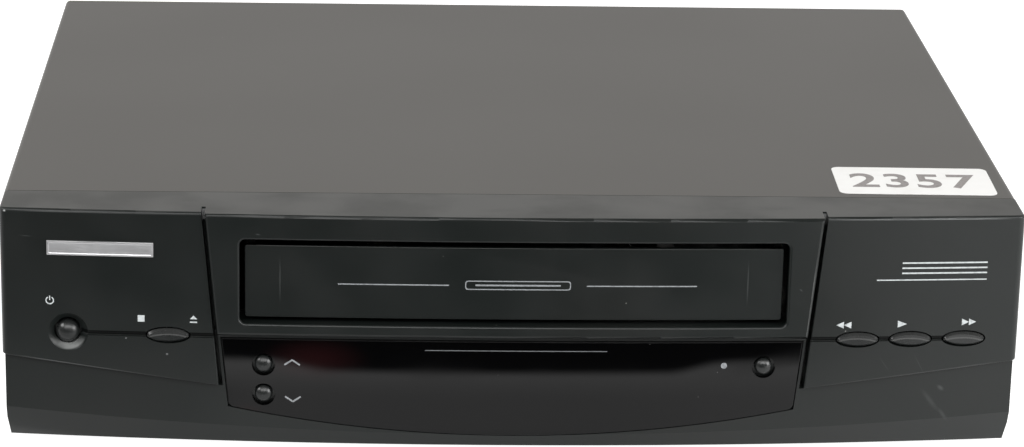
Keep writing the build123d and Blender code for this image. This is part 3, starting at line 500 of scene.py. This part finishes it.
def frontPlastic():
    material = newFinish("frontPlastic", (0.0054, 0.0072, 0.0067), 0.33, IOR=1.42)
    addCloud(material, 0.030, "Roughness", 0.42, 0.35, 0.7)
    addCloud(material, 0.055, "Base Color", (0.0074, 0.0086, 0.0080), 0.35, 0.75)
    streak = noise(material, 0.012, 3.0, points(material, (6, 1, 1), turn=(0, 14, 0)))
    blendInto(material, "Roughness", remap(material, streak, 0.55, 0.8, 0.0, 0.5), 0.48)
    for place, size, tilt, amount in frontScratches:
        scratch = patch(material, place, size, (0, tilt, 0), soft=0.95)
        tint(material, scratch, amount, scratchColour)
    addKeyGrooveShadeAndHighlight(material, keyGrooveShadeAndHighlight)
    addEdgeShine(material, topEdgeHighlight)
    addEdgeShine(material, wingHemHighlight)
    for place in slotTopLight["places"]:
        end = panel(material, place, slotTopLight["size"], soft=0.3)
        blendInto(material, "Base Color", end, slotTopLight["colour"])
    addDishShine(material, dishShine)
    glint = patch(material, cornerGlint["place"], cornerGlint["size"], soft=0.9)
    blendInto(material, "Base Color", glint, cornerGlint["colour"])
    for place in creaseLineHighlights["places"]:
        paintedCreaseLight = patch(material, place, creaseLineHighlights["size"], soft=0.9)
        tint(material, paintedCreaseLight, creaseLineHighlights["amount"], creaseLineHighlights["colour"])
    addDust(material, 0.0065, 0.00026, 0.16, (0.42, 0.42, 0.4), 0.5)
    addGrain(material, 0.0006, 0.000006, 0.6)
    return material


# painted shade: the flap's arms in the gap above the flap are made black and metallic, so they show
# no light
flapArmShade = {
    "height": (0.0779, 0.0782),
    "depth": (-0.1484, -0.1479),
    "black": (0.0012, 0.0012, 0.0012),
}


def flapPlastic():
    material = frontPlastic()
    material.name = "flapPlastic"
    # painted shade on the flap's arms
    height = remap(material, axis(material, "Z"), *flapArmShade["height"])
    depth = remap(material, axis(material, "Y"), *flapArmShade["depth"])
    arms = combine(material, "MULTIPLY", height, depth)
    blendInto(material, "Base Color", arms, flapArmShade["black"])
    blendInto(material, "Metallic", arms, 1.0)
    return material


# painted highlights: a lighter upper face and a bright arc on each of four keys
keyHighlights = {
    "places": (-0.1216, 0.1223, 0.14125, 0.1605),
    "y": -0.150,
    "upper": {
        "z": 0.0461,
        "size": (0.0074, throughFront, 0.0016),
        "amount": 0.6,
        "colour": (0.022, 0.0225, 0.022),
    },
    "crestHighlight": {
        "z": 0.0417,
        "size": (0.0098, endless, 0.0034),
        "band": (0.93, 1.0, 0.06),
        "amount": 0.5,
        "colour": (0.085, 0.086, 0.084),
    },
}


def keyPlastic():
    material = newFinish("keyPlastic", (0.0085, 0.0095, 0.0094), 0.26)
    # paints each key's lit upper face and its bright arc into the base colour
    upper, crestHighlight = keyHighlights["upper"], keyHighlights["crestHighlight"]
    for x in keyHighlights["places"]:
        face = panel(material, (x, keyHighlights["y"], upper["z"]), upper["size"], soft=0.3)
        ring = ringBand(material, (x, keyHighlights["y"], crestHighlight["z"]), crestHighlight["size"], *crestHighlight["band"])
        tint(material, face, upper["amount"], upper["colour"])
        tint(material, ring, crestHighlight["amount"], crestHighlight["colour"])
    addCloud(material, 0.006, "Roughness", 0.32)
    addDust(material, 0.004, 0.0002, 0.12, (0.4, 0.4, 0.38), 0.4)
    addGrain(material, 0.0005, 0.000003, 0.5)
    return material


lensGlow = {
    "colour": (0.009, 0.0025, 0.0028),
    "spots": (  # place, size, strength
        ((-0.070, -0.149, 0.036), (0.022, 0.03, 0.010), 0.75),
        ((-0.094, -0.148, 0.014), (0.008, 0.03, 0.006), 0.5),
    ),
}
lensTop = (0.0429, 0.0431)


def windowLens():
    material = newFinish("windowLens", (0.0009, 0.0009, 0.0010), 0.05, IOR=1.37)
    addCloud(material, 0.035, "Roughness", 0.09, 0.4, 0.7)
    for place, size, amount in lensGlow["spots"]:
        glow = patch(material, place, size, soft=0.95)
        tint(material, glow, amount, lensGlow["colour"])
    addDust(material, 0.006, 0.00022, 0.14, (0.3, 0.3, 0.3), 0.35)
    rim = remap(material, axis(material, "Z"), *lensTop)
    blendInto(material, "Roughness", rim, 0.95)
    smear = noise(material, 0.02, 3.0, points(material, (5, 1, 1), turn=(0, -18, 0)))
    blendInto(material, "Roughness", remap(material, smear, 0.55, 0.8, 0.0, 0.6), 0.2)
    return material


# Other materials

def coverPaint():
    material = newFinish("coverPaint", (0.0255, 0.0238, 0.0205), 0.40)
    addCloud(material, 0.09, "Roughness", 0.415, 0.35, 0.7)
    addCloud(material, 0.045, "Base Color", (0.028, 0.026, 0.023), 0.35, 0.75)
    addDust(material, 0.007, 0.0003, 0.10, (0.45, 0.44, 0.42), 0.4)
    addGrain(material, 0.0011, 0.00002, 0.5)
    return material


def platedSteel():
    material = newFinish("platedSteel", (0.50, 0.50, 0.49), 0.36, 1.0)
    spangle = cells(material, 0.009)
    split = material.node_tree.nodes.new("ShaderNodeSeparateColor")
    feed(material, spangle["Color"], split.inputs[0])
    blendInto(material, "Roughness", remap(material, split.outputs[0], 0.0, 1.0, 0.0, 0.8), 0.46)
    tone = remap(material, split.outputs[1], 0.0, 1.0, 0.0, 0.7)
    blendInto(material, "Base Color", tone, (0.40, 0.41, 0.42))
    addCloud(material, 0.02, "Base Color", (0.36, 0.35, 0.33), 0.5, 0.8)
    addBrush(material, "Y", 0.0012, 0.000004)
    return material


# painted shade: plated steel made nearly black for the parts inside the case, which stay in shade
def paintedShadeSteel(name, size, colour, high, amount, roughness):
    material = platedSteel()
    material.name = name
    addCloud(material, size, "Base Color", colour, 0.0, high, amount)
    blendInto(material, "Roughness", remap(material, noise(material, 0.006), 0.2, 0.7), roughness)
    return material


def shadedCarriageSteel():
    return paintedShadeSteel("shadedCarriageSteel", 0.004, (0.02, 0.02, 0.021), 0.12, 0.9, 0.62)


def shadedDeckSteel():
    return paintedShadeSteel("shadedDeckSteel", 0.01, (0.012, 0.012, 0.0125), 0.10, 0.96, 0.6)


def screwSteel():
    material = newFinish("screwSteel", (0.10, 0.10, 0.105), 0.34, 1.0)
    addCloud(material, 0.002, "Roughness", 0.5)
    addCloud(material, 0.0015, "Base Color", (0.22, 0.21, 0.20), 0.6, 0.75)
    addGrain(material, 0.0004, 0.000008)
    return material


def mouldedPlastic(name, colour, roughness, grain=0.0008, worn=(0.05, 0.05, 0.05)):
    material = newFinish(name, colour, roughness)
    addCloud(material, 0.025, "Base Color", worn, 0.45, 0.8, 0.5)
    addCloud(material, 0.012, "Roughness", min(1.0, roughness + 0.14))
    addDust(material, 0.005, 0.00022, 0.12, (0.40, 0.39, 0.36), 0.35)
    addGrain(material, grain, 0.00003, 0.6)
    return material


def tunerCan():
    material = newFinish("tunerCan", (0.72, 0.72, 0.70), 0.2, 1.0)
    addCloud(material, 0.008, "Roughness", 0.38)
    addCloud(material, 0.015, "Base Color", (0.55, 0.55, 0.52), 0.4, 0.75)
    addBrush(material, "Z", 0.001, 0.000004)
    return material


def circuitBoard():
    material = newFinish("circuitBoard", (0.30, 0.19, 0.075), 0.45)
    addCloud(material, 0.012, "Base Color", (0.36, 0.24, 0.10))
    tracks = material.node_tree.nodes.new("ShaderNodeTexVoronoi")
    tracks.distance = "CHEBYCHEV"
    tracks.feature = "F2"
    tracks.inputs["Scale"].default_value = 160
    tracks.inputs["Randomness"].default_value = 0.7
    feed(material, points(material), tracks.inputs["Vector"])
    cell = combine(material, "PINGPONG", tracks.outputs["Distance"], 0.12)
    tint(material, remap(material, cell, 0.04, 0.06), 0.55, (0.10, 0.16, 0.055))
    pitch = 0.00254
    across = combine(material, "PINGPONG", axis(material, "X"), pitch / 2)
    along = combine(material, "PINGPONG", axis(material, "Y"), pitch / 2)
    acrossSquare = combine(material, "MULTIPLY", across, across)
    alongSquare = combine(material, "MULTIPLY", along, along)
    dot = remap(material, combine(material, "ADD", acrossSquare, alongSquare), 5.0e-7, 2.0e-7)
    used = remap(material, noise(material, 0.006, 2.0), 0.5, 0.56)
    solder = combine(material, "MULTIPLY", dot, used)
    blendInto(material, "Base Color", solder, (0.6, 0.6, 0.58))
    blendInto(material, "Metallic", solder, 1.0)
    addBump(material, solder, 0.0002)
    return material


boardBlack = {"height": (0.0425, 0.0435), "colour": (0.006, 0.006, 0.006), "roughness": 0.8}


def frontBoard():
    material = circuitBoard()
    material.name = "frontBoard"
    upper = remap(material, axis(material, "Z"), *boardBlack["height"])
    blendInto(material, "Base Color", upper, boardBlack["colour"])
    blendInto(material, "Metallic", upper, 0.0)
    blendInto(material, "Roughness", upper, boardBlack["roughness"])
    return material


def displayGlass():
    material = newFinish(
        "displayGlass", (0.05, 0.075, 0.075), 0.1,
        Coat_Weight=0.6, Coat_Roughness=0.05,
    )
    grid = waves(material, 0.0009, "X")
    blendInto(material, "Base Color", remap(material, grid, 0.7, 0.95, 0.0, 0.5), (0.16, 0.2, 0.2))
    addCloud(material, 0.01, "Roughness", 0.2)
    return material


def coreSteel():
    material = newFinish("coreSteel", (0.22, 0.21, 0.20), 0.5, 0.8)
    sheets = waves(material, 0.0005, "X", waver=0.6)
    addBump(material, sheets, 0.0001)
    seam = remap(material, sheets, 0.1, 0.5, 0.7, 0.0)
    blendInto(material, "Base Color", seam, (0.08, 0.075, 0.07))
    addCloud(material, 0.008, "Base Color", (0.20, 0.11, 0.06), 0.6, 0.85)
    return material


def copperWinding():
    material = newFinish("copperWinding", (0.52, 0.20, 0.075), 0.32, 0.9)
    wire = waves(material, 0.0006, "Z", waver=0.4)
    addBump(material, wire, 0.0003)
    between = remap(material, wire, 0.0, 0.4, 0.8, 0.0)
    blendInto(material, "Base Color", between, (0.14, 0.045, 0.015))
    addCloud(material, 0.006, "Roughness", 0.45)
    return material


def heatSinkMetal():
    material = newFinish("heatSinkMetal", (0.62, 0.62, 0.63), 0.32, 1.0)
    addCloud(material, 0.01, "Roughness", 0.48)
    addBrush(material, "Z", 0.0012, 0.00001)
    return material


def drumMetal():
    material = newFinish("drumMetal", (0.76, 0.76, 0.77), 0.16, 1.0)
    rings = waves(material, 0.00022, "Z", "RINGS", points(material, place=(0, 0.0775, 0)))
    addBump(material, rings, 0.00002)
    blendInto(material, "Roughness", remap(material, rings, 0.3, 0.8, 0.0, 0.6), 0.3)
    addCloud(material, 0.012, "Base Color", (0.66, 0.66, 0.66))
    return material


def gearPlastic():
    material = newFinish(
        "gearPlastic", (0.68, 0.66, 0.60), 0.4,
        Subsurface_Weight=0.08, Subsurface_Scale=0.002,
    )
    addCloud(material, 0.006, "Base Color", (0.60, 0.57, 0.49), 0.45, 0.75)
    addCloud(material, 0.003, "Roughness", 0.52)
    addCloud(material, 0.004, "Base Color", (0.35, 0.31, 0.22), 0.66, 0.8, 0.6)
    addGrain(material, 0.0006, 0.00001)
    return material


def rollerRubber():
    material = newFinish("rollerRubber", (0.019, 0.0185, 0.018), 0.68)
    addCloud(material, 0.004, "Roughness", 0.5)
    addCloud(material, 0.005, "Base Color", (0.045, 0.043, 0.04), 0.5, 0.75)
    addGrain(material, 0.0003, 0.00001)
    return material


def springSteel():
    material = newFinish("springSteel", (0.10, 0.10, 0.10), 0.4, 1.0)
    addCloud(material, 0.003, "Roughness", 0.4)
    addBrush(material, "X", 0.0006, 0.000004)
    return material


def printInk(name, colour):
    material = newFinish(name, colour, 0.5)
    addCloud(material, 0.0012, "Base Color", tuple(0.72 * part for part in colour), 0.45, 0.7)
    addGrain(material, 0.00025, 0.000006)
    return material


def brushedSilver():
    material = newFinish("brushedSilver", (0.60, 0.60, 0.61), 0.36, 0.75)
    addCloud(material, 0.004, "Roughness", 0.46)
    addBrush(material, "X", 0.0005, 0.000004)
    return material


def stickerPaper():
    material = newFinish("stickerPaper", (0.72, 0.72, 0.71), 0.45)
    addCloud(material, 0.012, "Base Color", (0.68, 0.675, 0.66), 0.5, 0.8)
    addCloud(material, 0.006, "Roughness", 0.58)
    addGrain(material, 0.0007, 0.00001)
    return material


finishes = {
    "front_plastic": frontPlastic(),
    "key_plastic": keyPlastic(),
    "window_lens": windowLens(),
    "cover_paint": coverPaint(),
    "plated_steel": platedSteel(),
    "screw_steel": screwSteel(),
    "rear_plastic": mouldedPlastic("rearPlastic", (0.018, 0.018, 0.019), 0.46),
    "foot_plastic": mouldedPlastic("footPlastic", (0.014, 0.014, 0.014), 0.58),
    "socket_plastic": mouldedPlastic("socketPlastic", (0.010, 0.010, 0.010), 0.4),
    "tuner_can": tunerCan(),
    "circuit_board": circuitBoard(),
    "component_plastic": mouldedPlastic("componentPlastic", (0.024, 0.024, 0.026), 0.38, 0.0005),
    "display_glass": displayGlass(),
    "core_steel": coreSteel(),
    "copper_winding": copperWinding(),
    "heat_sink_metal": heatSinkMetal(),
    "drum_metal": drumMetal(),
    "gear_plastic": gearPlastic(),
    "roller_rubber": rollerRubber(),
    "spring_steel": springSteel(),
}
whiteInk = printInk("whiteInk", (0.40, 0.425, 0.43))
greyInk = printInk("greyInk", (0.20, 0.21, 0.22))
faintInk = printInk("faintInk", (0.10, 0.105, 0.11))
digitInk = printInk("digitInk", (0.215, 0.20, 0.195))
silver = brushedSilver()
sticker = stickerPaper()

ownFinishes = {
    "cassette_flap": flapPlastic(),
    # the basket, slider and deck get the darkened steel as painted shade
    "cassette_basket": shadedCarriageSteel(),
    "carriage_slider": shadedCarriageSteel(),
    "deck_plate": shadedDeckSteel(),
    "front_circuit_board": frontBoard(),
}

for part in frame["record"]["subparts"]:
    node = nodes[part["node"]]
    node.data.materials.clear()
    node.data.materials.append(ownFinishes.get(part["node"], finishes[part["material_slot"]]))
print("materials ready")


# Printed marks: thin raised ink that follows the bow of the front

bowRadius = 2.6
frontY = -0.1525
wingStep = 0.0018  # how far each surface stands back from the foremost one
flapStep = 0.0027
windowStep = 0.0033
inkSink = 0.00002
inkTop = 0.00003
addCircle = bpy.ops.mesh.primitive_circle_add
addGrid = bpy.ops.mesh.primitive_grid_add


def startShape(name, addShape, **options):
    bpy.ops.object.select_all(action="DESELECT")
    addShape(**options)
    piece = bpy.context.object
    piece.name = name
    bpy.ops.object.mode_set(mode="EDIT")
    bpy.ops.mesh.select_all(action="SELECT")
    return piece


def extrudeUp(height):
    bpy.ops.mesh.extrude_region_move(TRANSFORM_OT_translate={"value": (0, 0, height)})


def closeShape():
    bpy.ops.mesh.select_all(action="SELECT")
    bpy.ops.mesh.normals_make_consistent(inside=False)
    bpy.ops.object.mode_set(mode="OBJECT")


def raiseInk(piece, at=(0.0, 0.0), turn=0.0):
    bpy.ops.mesh.select_all(action="SELECT")
    extrudeUp(inkSink + inkTop)
    closeShape()
    spin = Matrix.Rotation(math.radians(turn), 4, "Z")
    piece.data.transform(Matrix.Translation((*at, 0)) @ spin)
    return piece


def drawTriangle(width, height, at=(0.0, 0.0), turn=0.0):
    piece = startShape("triangle", addCircle, vertices=3, radius=1, fill_type="NGON")
    size = (height / math.sqrt(3), width / 1.5, 1)  # a triangle of radius 1 is 1.5 high
    bpy.ops.transform.resize(value=size, center_override=(0, 0, 0))
    return raiseInk(piece, at, turn)


def drawBar(width, height, at=(0.0, 0.0), turn=0.0, pieces=1):
    piece = startShape("bar", addGrid, x_subdivisions=pieces, y_subdivisions=1, size=1)
    bpy.ops.transform.resize(value=(width, height, 1))
    return raiseInk(piece, at, turn)


def drawDisc(width):
    piece = startShape("disc", addCircle, vertices=28, radius=width / 2, fill_type="NGON")
    return raiseInk(piece)


def drawRing(width, line, gap):
    piece = startShape("ring", addCircle, vertices=36, radius=width / 2, fill_type="NGON")
    bpy.ops.mesh.inset(thickness=line)
    bpy.ops.mesh.delete(type="FACE")
    bpy.ops.object.mode_set(mode="OBJECT")
    for face in piece.data.polygons:
        side = abs(math.degrees(math.atan2(face.center.x, face.center.y)))
        face.select = side < gap
    bpy.ops.object.mode_set(mode="EDIT")
    bpy.ops.mesh.delete(type="FACE")
    return raiseInk(piece)


def drawFrame(setup):
    width, height = setup["size"]
    near = 1e-6
    piece = startShape("frame", addGrid, x_subdivisions=setup["pieces"], y_subdivisions=1, size=1)
    bpy.ops.transform.resize(value=(width, height, 1))
    bpy.ops.mesh.inset(thickness=setup["line"])
    bpy.ops.mesh.delete(type="FACE")
    for inner in (0, setup["line"]):
        bpy.ops.mesh.select_all(action="DESELECT")
        bpy.ops.object.mode_set(mode="OBJECT")
        for point in piece.data.vertices:
            farX = abs(abs(point.co.x) - (width / 2 - inner)) < near
            farY = abs(abs(point.co.y) - (height / 2 - inner)) < near
            point.select = farX and farY
        bpy.ops.object.mode_set(mode="EDIT")
        bpy.ops.mesh.bevel(offset=setup["corner"] - inner, segments=4, affect="VERTICES")
    return raiseInk(piece, setup["at"])


def joinPieces(name, pieces):
    bpy.ops.object.select_all(action="DESELECT")
    for piece in pieces:
        piece.select_set(True)
    bpy.context.view_layer.objects.active = pieces[0]
    if len(pieces) > 1:
        bpy.ops.object.join()
    pieces[0].name = name
    pieces[0].data.name = name
    return pieces[0]


def faceY(x, step):
    return frontY + step + x * x / (2 * bowRadius)


def layOnFront(piece, x, z, step, finish, body):
    for point in piece.data.vertices:
        across = x + point.co.x
        out = point.co.z - inkSink
        point.co = (across, faceY(across, step) - out, z + point.co.y)
    piece.data.materials.append(finish)
    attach(piece, body)


marks = {
    "powerMark": {"x": -0.1630, "z": 0.0564, "width": 0.0030, "line": 0.0004, "gap": 34},
    "stopMark": {"x": -0.1310, "z": 0.0505, "width": 0.0024, "height": 0.0024},
    "ejectMark": {"x": -0.1126, "z": 0.0506, "width": 0.0025},
    "rewindMark": {"x": 0.1176, "z": 0.0500, "width": 0.0054, "height": 0.0025, "turn": 90},
    "playMark": {"x": 0.1376, "z": 0.0502, "width": 0.0033, "height": 0.0026, "turn": -90},
    "forwardMark": {"x": 0.1617, "z": 0.0507, "width": 0.0051, "height": 0.0025, "turn": -90},
    "upMark": {"x": -0.0780, "z": 0.0346, "tilt": 34},
    "downMark": {"x": -0.0777, "z": 0.0208, "tilt": -34},
    "recordMark": {"x": 0.0751, "z": 0.0344, "width": 0.0022},
}
powerStem = {"length": 0.0016, "lift": 0.0009}
ejectArrow = {"height": 0.0014, "lift": 0.0005}
ejectFoot = {"height": 0.0005, "lift": -0.0011}
chevronArm = {"length": 0.0034, "line": 0.0006, "out": 0.00135}


def layMark(name, pieces, step, finish):
    spot = marks[name]
    layOnFront(joinPieces(name, pieces), spot["x"], spot["z"], step, finish, "case")


def addMarks():
    spot = marks["powerMark"]
    ring = drawRing(spot["width"], spot["line"], spot["gap"])
    stem = drawBar(spot["line"], powerStem["length"], (0, powerStem["lift"]))
    layMark("powerMark", [ring, stem], wingStep, whiteInk)

    spot = marks["stopMark"]
    layMark("stopMark", [drawBar(spot["width"], spot["height"])], wingStep, whiteInk)

    width = marks["ejectMark"]["width"]
    arrow = drawTriangle(ejectArrow["height"], width, (0, ejectArrow["lift"]))
    foot = drawBar(width, ejectFoot["height"], (0, ejectFoot["lift"]))
    layMark("ejectMark", [arrow, foot], wingStep, whiteInk)

    for name in ("rewindMark", "forwardMark"):
        spot = marks[name]
        half = spot["width"] / 4
        pair = [
            drawTriangle(2 * half, spot["height"], (side, 0), spot["turn"])
            for side in (-half, half)
        ]
        layMark(name, pair, wingStep, whiteInk)

    spot = marks["playMark"]
    arrow = drawTriangle(spot["width"], spot["height"], turn=spot["turn"])
    layMark("playMark", [arrow], wingStep, whiteInk)

    for name in ("upMark", "downMark"):
        tilt = marks[name]["tilt"]
        size = (chevronArm["length"], chevronArm["line"])
        arms = [
            drawBar(*size, (side * chevronArm["out"], 0), -side * tilt)
            for side in (-1, 1)
        ]
        layMark(name, arms, windowStep, greyInk)

    layMark("recordMark", [drawDisc(marks["recordMark"]["width"])], windowStep, greyInk)


stripes = {
    "flapLines": {
        "spans": ((-0.0620, -0.0231), (0.0254, 0.0643)),
        "rows": (0.0644,),
        "line": 0.00042,
        "step": flapStep,
        "finish": greyInk,
        "body": "cassette_flap",
    },
    "flapFrame": {
        "spans": ((-0.0138, 0.0162),),
        "rows": (0.0645,),
        "line": 0.000576,
        "step": flapStep,
        "finish": greyInk,
        "body": "cassette_flap",
        "frame": {
            "at": (0.0012, 0.0645),
            "size": (0.0372, 0.0034),
            "line": 0.00036,
            "corner": 0.0012,
            "pieces": 10,
        },
    },
    "windowLine": {
        "spans": ((-0.0312, 0.0333),),
        "rows": (0.0398,),
        "line": 0.0003,
        "step": windowStep,
        "finish": faintInk,
        "body": "case",
    },
    "wingBands": {
        "spans": ((0.1370, 0.1675),),
        "rows": (0.0730, 0.0711, 0.0692),
        "line": 0.00055,
        "step": wingStep,
        "finish": whiteInk,
        "body": "case",
    },
    "wingLine": {
        "spans": ((0.1281, 0.1675),),
        "rows": (0.0667,),
        "line": 0.00042,
        "step": wingStep,
        "finish": whiteInk,
        "body": "case",
    },
}
barPiece = 0.004  # a bar is cut about this often, to follow the bow


def drawSpan(start, end, line, z):
    count = max(2, round((end - start) / barPiece))
    return drawBar(end - start, line, ((start + end) / 2, z), pieces=count)


def addStripe(name, setup):
    bars = [drawSpan(*span, setup["line"], z) for z in setup["rows"] for span in setup["spans"]]
    if "frame" in setup:
        bars.insert(0, drawFrame(setup["frame"]))
    layOnFront(joinPieces(name, bars), 0, 0, setup["step"], setup["finish"], setup["body"])


addMarks()
for name, setup in stripes.items():
    addStripe(name, setup)
print("printed marks ready")


# Badge plate, bare, on the left wing

badge = {
    "x": -0.1451,
    "z": 0.0760,
    "width": 0.0372,
    "height": 0.0052,
    "pieces": 10,
    "thick": 0.0007,
    "rim": 0.0006,
    "fieldSlope": 0.0002,
    "fieldDepth": 0.00018,
    "edge": 0.00012,
    "smooth": 30,
}


def addBadge(setup):
    count = setup["pieces"]
    piece = startShape("badgePlate", addGrid, x_subdivisions=count, y_subdivisions=1, size=1)
    bpy.ops.transform.resize(value=(setup["width"], setup["height"], 1))
    extrudeUp(setup["thick"])
    bpy.ops.mesh.inset(thickness=setup["rim"], depth=0.0)
    bpy.ops.mesh.inset(thickness=setup["fieldSlope"], depth=-setup["fieldDepth"])
    closeShape()
    edge = piece.modifiers.new("edge", "BEVEL")
    edge.width = setup["edge"]
    edge.segments = 3
    edge.limit_method = "ANGLE"
    bpy.ops.object.modifier_apply(modifier="edge")
    bpy.ops.object.shade_smooth_by_angle(angle=math.radians(setup["smooth"]))
    layOnFront(piece, setup["x"], setup["z"], wingStep, silver, "case")


addBadge(badge)


# Sticker on the cover with plain digits

label = {
    "centre": (0.1463, -0.1040),
    "turn": -1.0,
    "width": 0.0570,
    "depth": 0.0325,
    "corner": 0.0030,
    "thick": 0.00010,
    "digits": "2357",
    "digitSize": (0.0460, 0.0170, 0.00006),
    "weight": 0.02,
    "spacing": 1.12,
}
coverTop = 0.0900


def onCover(piece, setup, low, finish):
    spin = Matrix.Rotation(math.radians(setup["turn"]), 4, "Z")
    piece.data.transform(Matrix.Translation((*setup["centre"], low)) @ spin)
    piece.data.materials.append(finish)
    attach(piece, "case")


def addPaper(setup):
    piece = startShape("coverLabel", bpy.ops.mesh.primitive_plane_add, size=1)
    bpy.ops.transform.resize(value=(setup["width"], setup["depth"], 1))
    bpy.ops.mesh.bevel(offset=setup["corner"], segments=8, affect="VERTICES")
    bpy.ops.mesh.select_all(action="SELECT")
    extrudeUp(setup["thick"])
    closeShape()
    onCover(piece, setup, coverTop, sticker)


def addDigits(setup):
    bpy.ops.object.select_all(action="DESELECT")
    bpy.ops.object.text_add()
    words = bpy.context.object
    words.data.body = setup["digits"]
    words.data.align_x = "CENTER"
    words.data.align_y = "CENTER"
    words.data.offset = setup["weight"]
    words.data.extrude = 0.5  # any thickness will do, as it is scaled below
    words.data.space_character = setup["spacing"]
    bpy.ops.object.convert(target="MESH")
    words = bpy.context.object
    words.name = "labelDigits"
    corners = [Vector(corner) for corner in words.bound_box]
    low = Vector([min(corner[i] for corner in corners) for i in range(3)])
    high = Vector([max(corner[i] for corner in corners) for i in range(3)])
    scale = [wanted / size for wanted, size in zip(setup["digitSize"], high - low)]
    centring = Matrix.Translation(-(low + high) / 2)
    words.data.transform(Matrix.Diagonal((*scale, 1)) @ centring)
    onCover(words, setup, coverTop + setup["thick"], digitInk)


addPaper(label)
addDigits(label)
print("badge and sticker ready")


# Rear screws

rearScrews = {
    "spots": (
        (-0.146, 0.035), (-0.146, 0.059), (-0.113, 0.038),
        (-0.113, 0.060), (0.1555, 0.022), (0.1245, 0.022),
    ),
    "sides": 32,
    "radius": 0.0027,
    "height": 0.0014,
    "round": 0.0007,
    "slot": (0.0030, 0.0007, 0.0018),
    "spin": 4000.0,  # turn of a head in radians per metre of x
    "rearY": 0.1475,
    "smooth": 35,
}


def roundRim(head, setup):
    bpy.ops.mesh.select_all(action="DESELECT")
    bpy.ops.object.mode_set(mode="OBJECT")
    for edge in head.data.edges:
        edge.select = min(head.data.vertices[i].co.z for i in edge.vertices) > 0
    bpy.ops.object.mode_set(mode="EDIT")
    bpy.ops.mesh.bevel(offset=setup["round"], segments=5)
    bpy.ops.object.mode_set(mode="OBJECT")


def cutSlot(head, setup, turn):
    bpy.ops.object.select_all(action="DESELECT")
    top = (0, 0, setup["height"] / 2)
    bpy.ops.mesh.primitive_cube_add(size=1, location=top, rotation=(0, 0, math.radians(turn)))
    cutter = bpy.context.object
    cutter.scale = setup["slot"]
    cut = head.modifiers.new("cross", "BOOLEAN")
    cut.operation = "DIFFERENCE"
    cut.object = cutter
    bpy.context.view_layer.objects.active = head
    bpy.ops.object.modifier_apply(modifier="cross")
    bpy.data.objects.remove(cutter)


def addRearScrews(setup):
    head = startShape(
        "rearScrew", bpy.ops.mesh.primitive_cylinder_add,
        vertices=setup["sides"], radius=setup["radius"], depth=setup["height"],
    )
    roundRim(head, setup)
    for turn in (0, 90):
        cutSlot(head, setup, turn)
    bpy.ops.object.select_all(action="DESELECT")
    head.select_set(True)
    bpy.context.view_layer.objects.active = head
    bpy.ops.object.shade_smooth_by_angle(angle=math.radians(setup["smooth"]))
    head.data.materials.append(finishes["screw_steel"])
    heads = []
    for x, z in setup["spots"]:
        copy = head.copy()
        copy.data = head.data.copy()
        scene.collection.objects.link(copy)
        spin = Matrix.Rotation(setup["spin"] * x, 4, "Z")
        tilt = Matrix.Rotation(math.radians(-90), 4, "X") @ spin
        place = Matrix.Translation((x, setup["rearY"] + setup["height"] / 2, z))
        copy.data.transform(place @ tilt)
        heads.append(copy)
    bpy.data.objects.remove(head)
    screws = joinPieces("rearScrews", heads)
    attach(screws, "case")


addRearScrews(rearScrews)
print("rear screws ready")
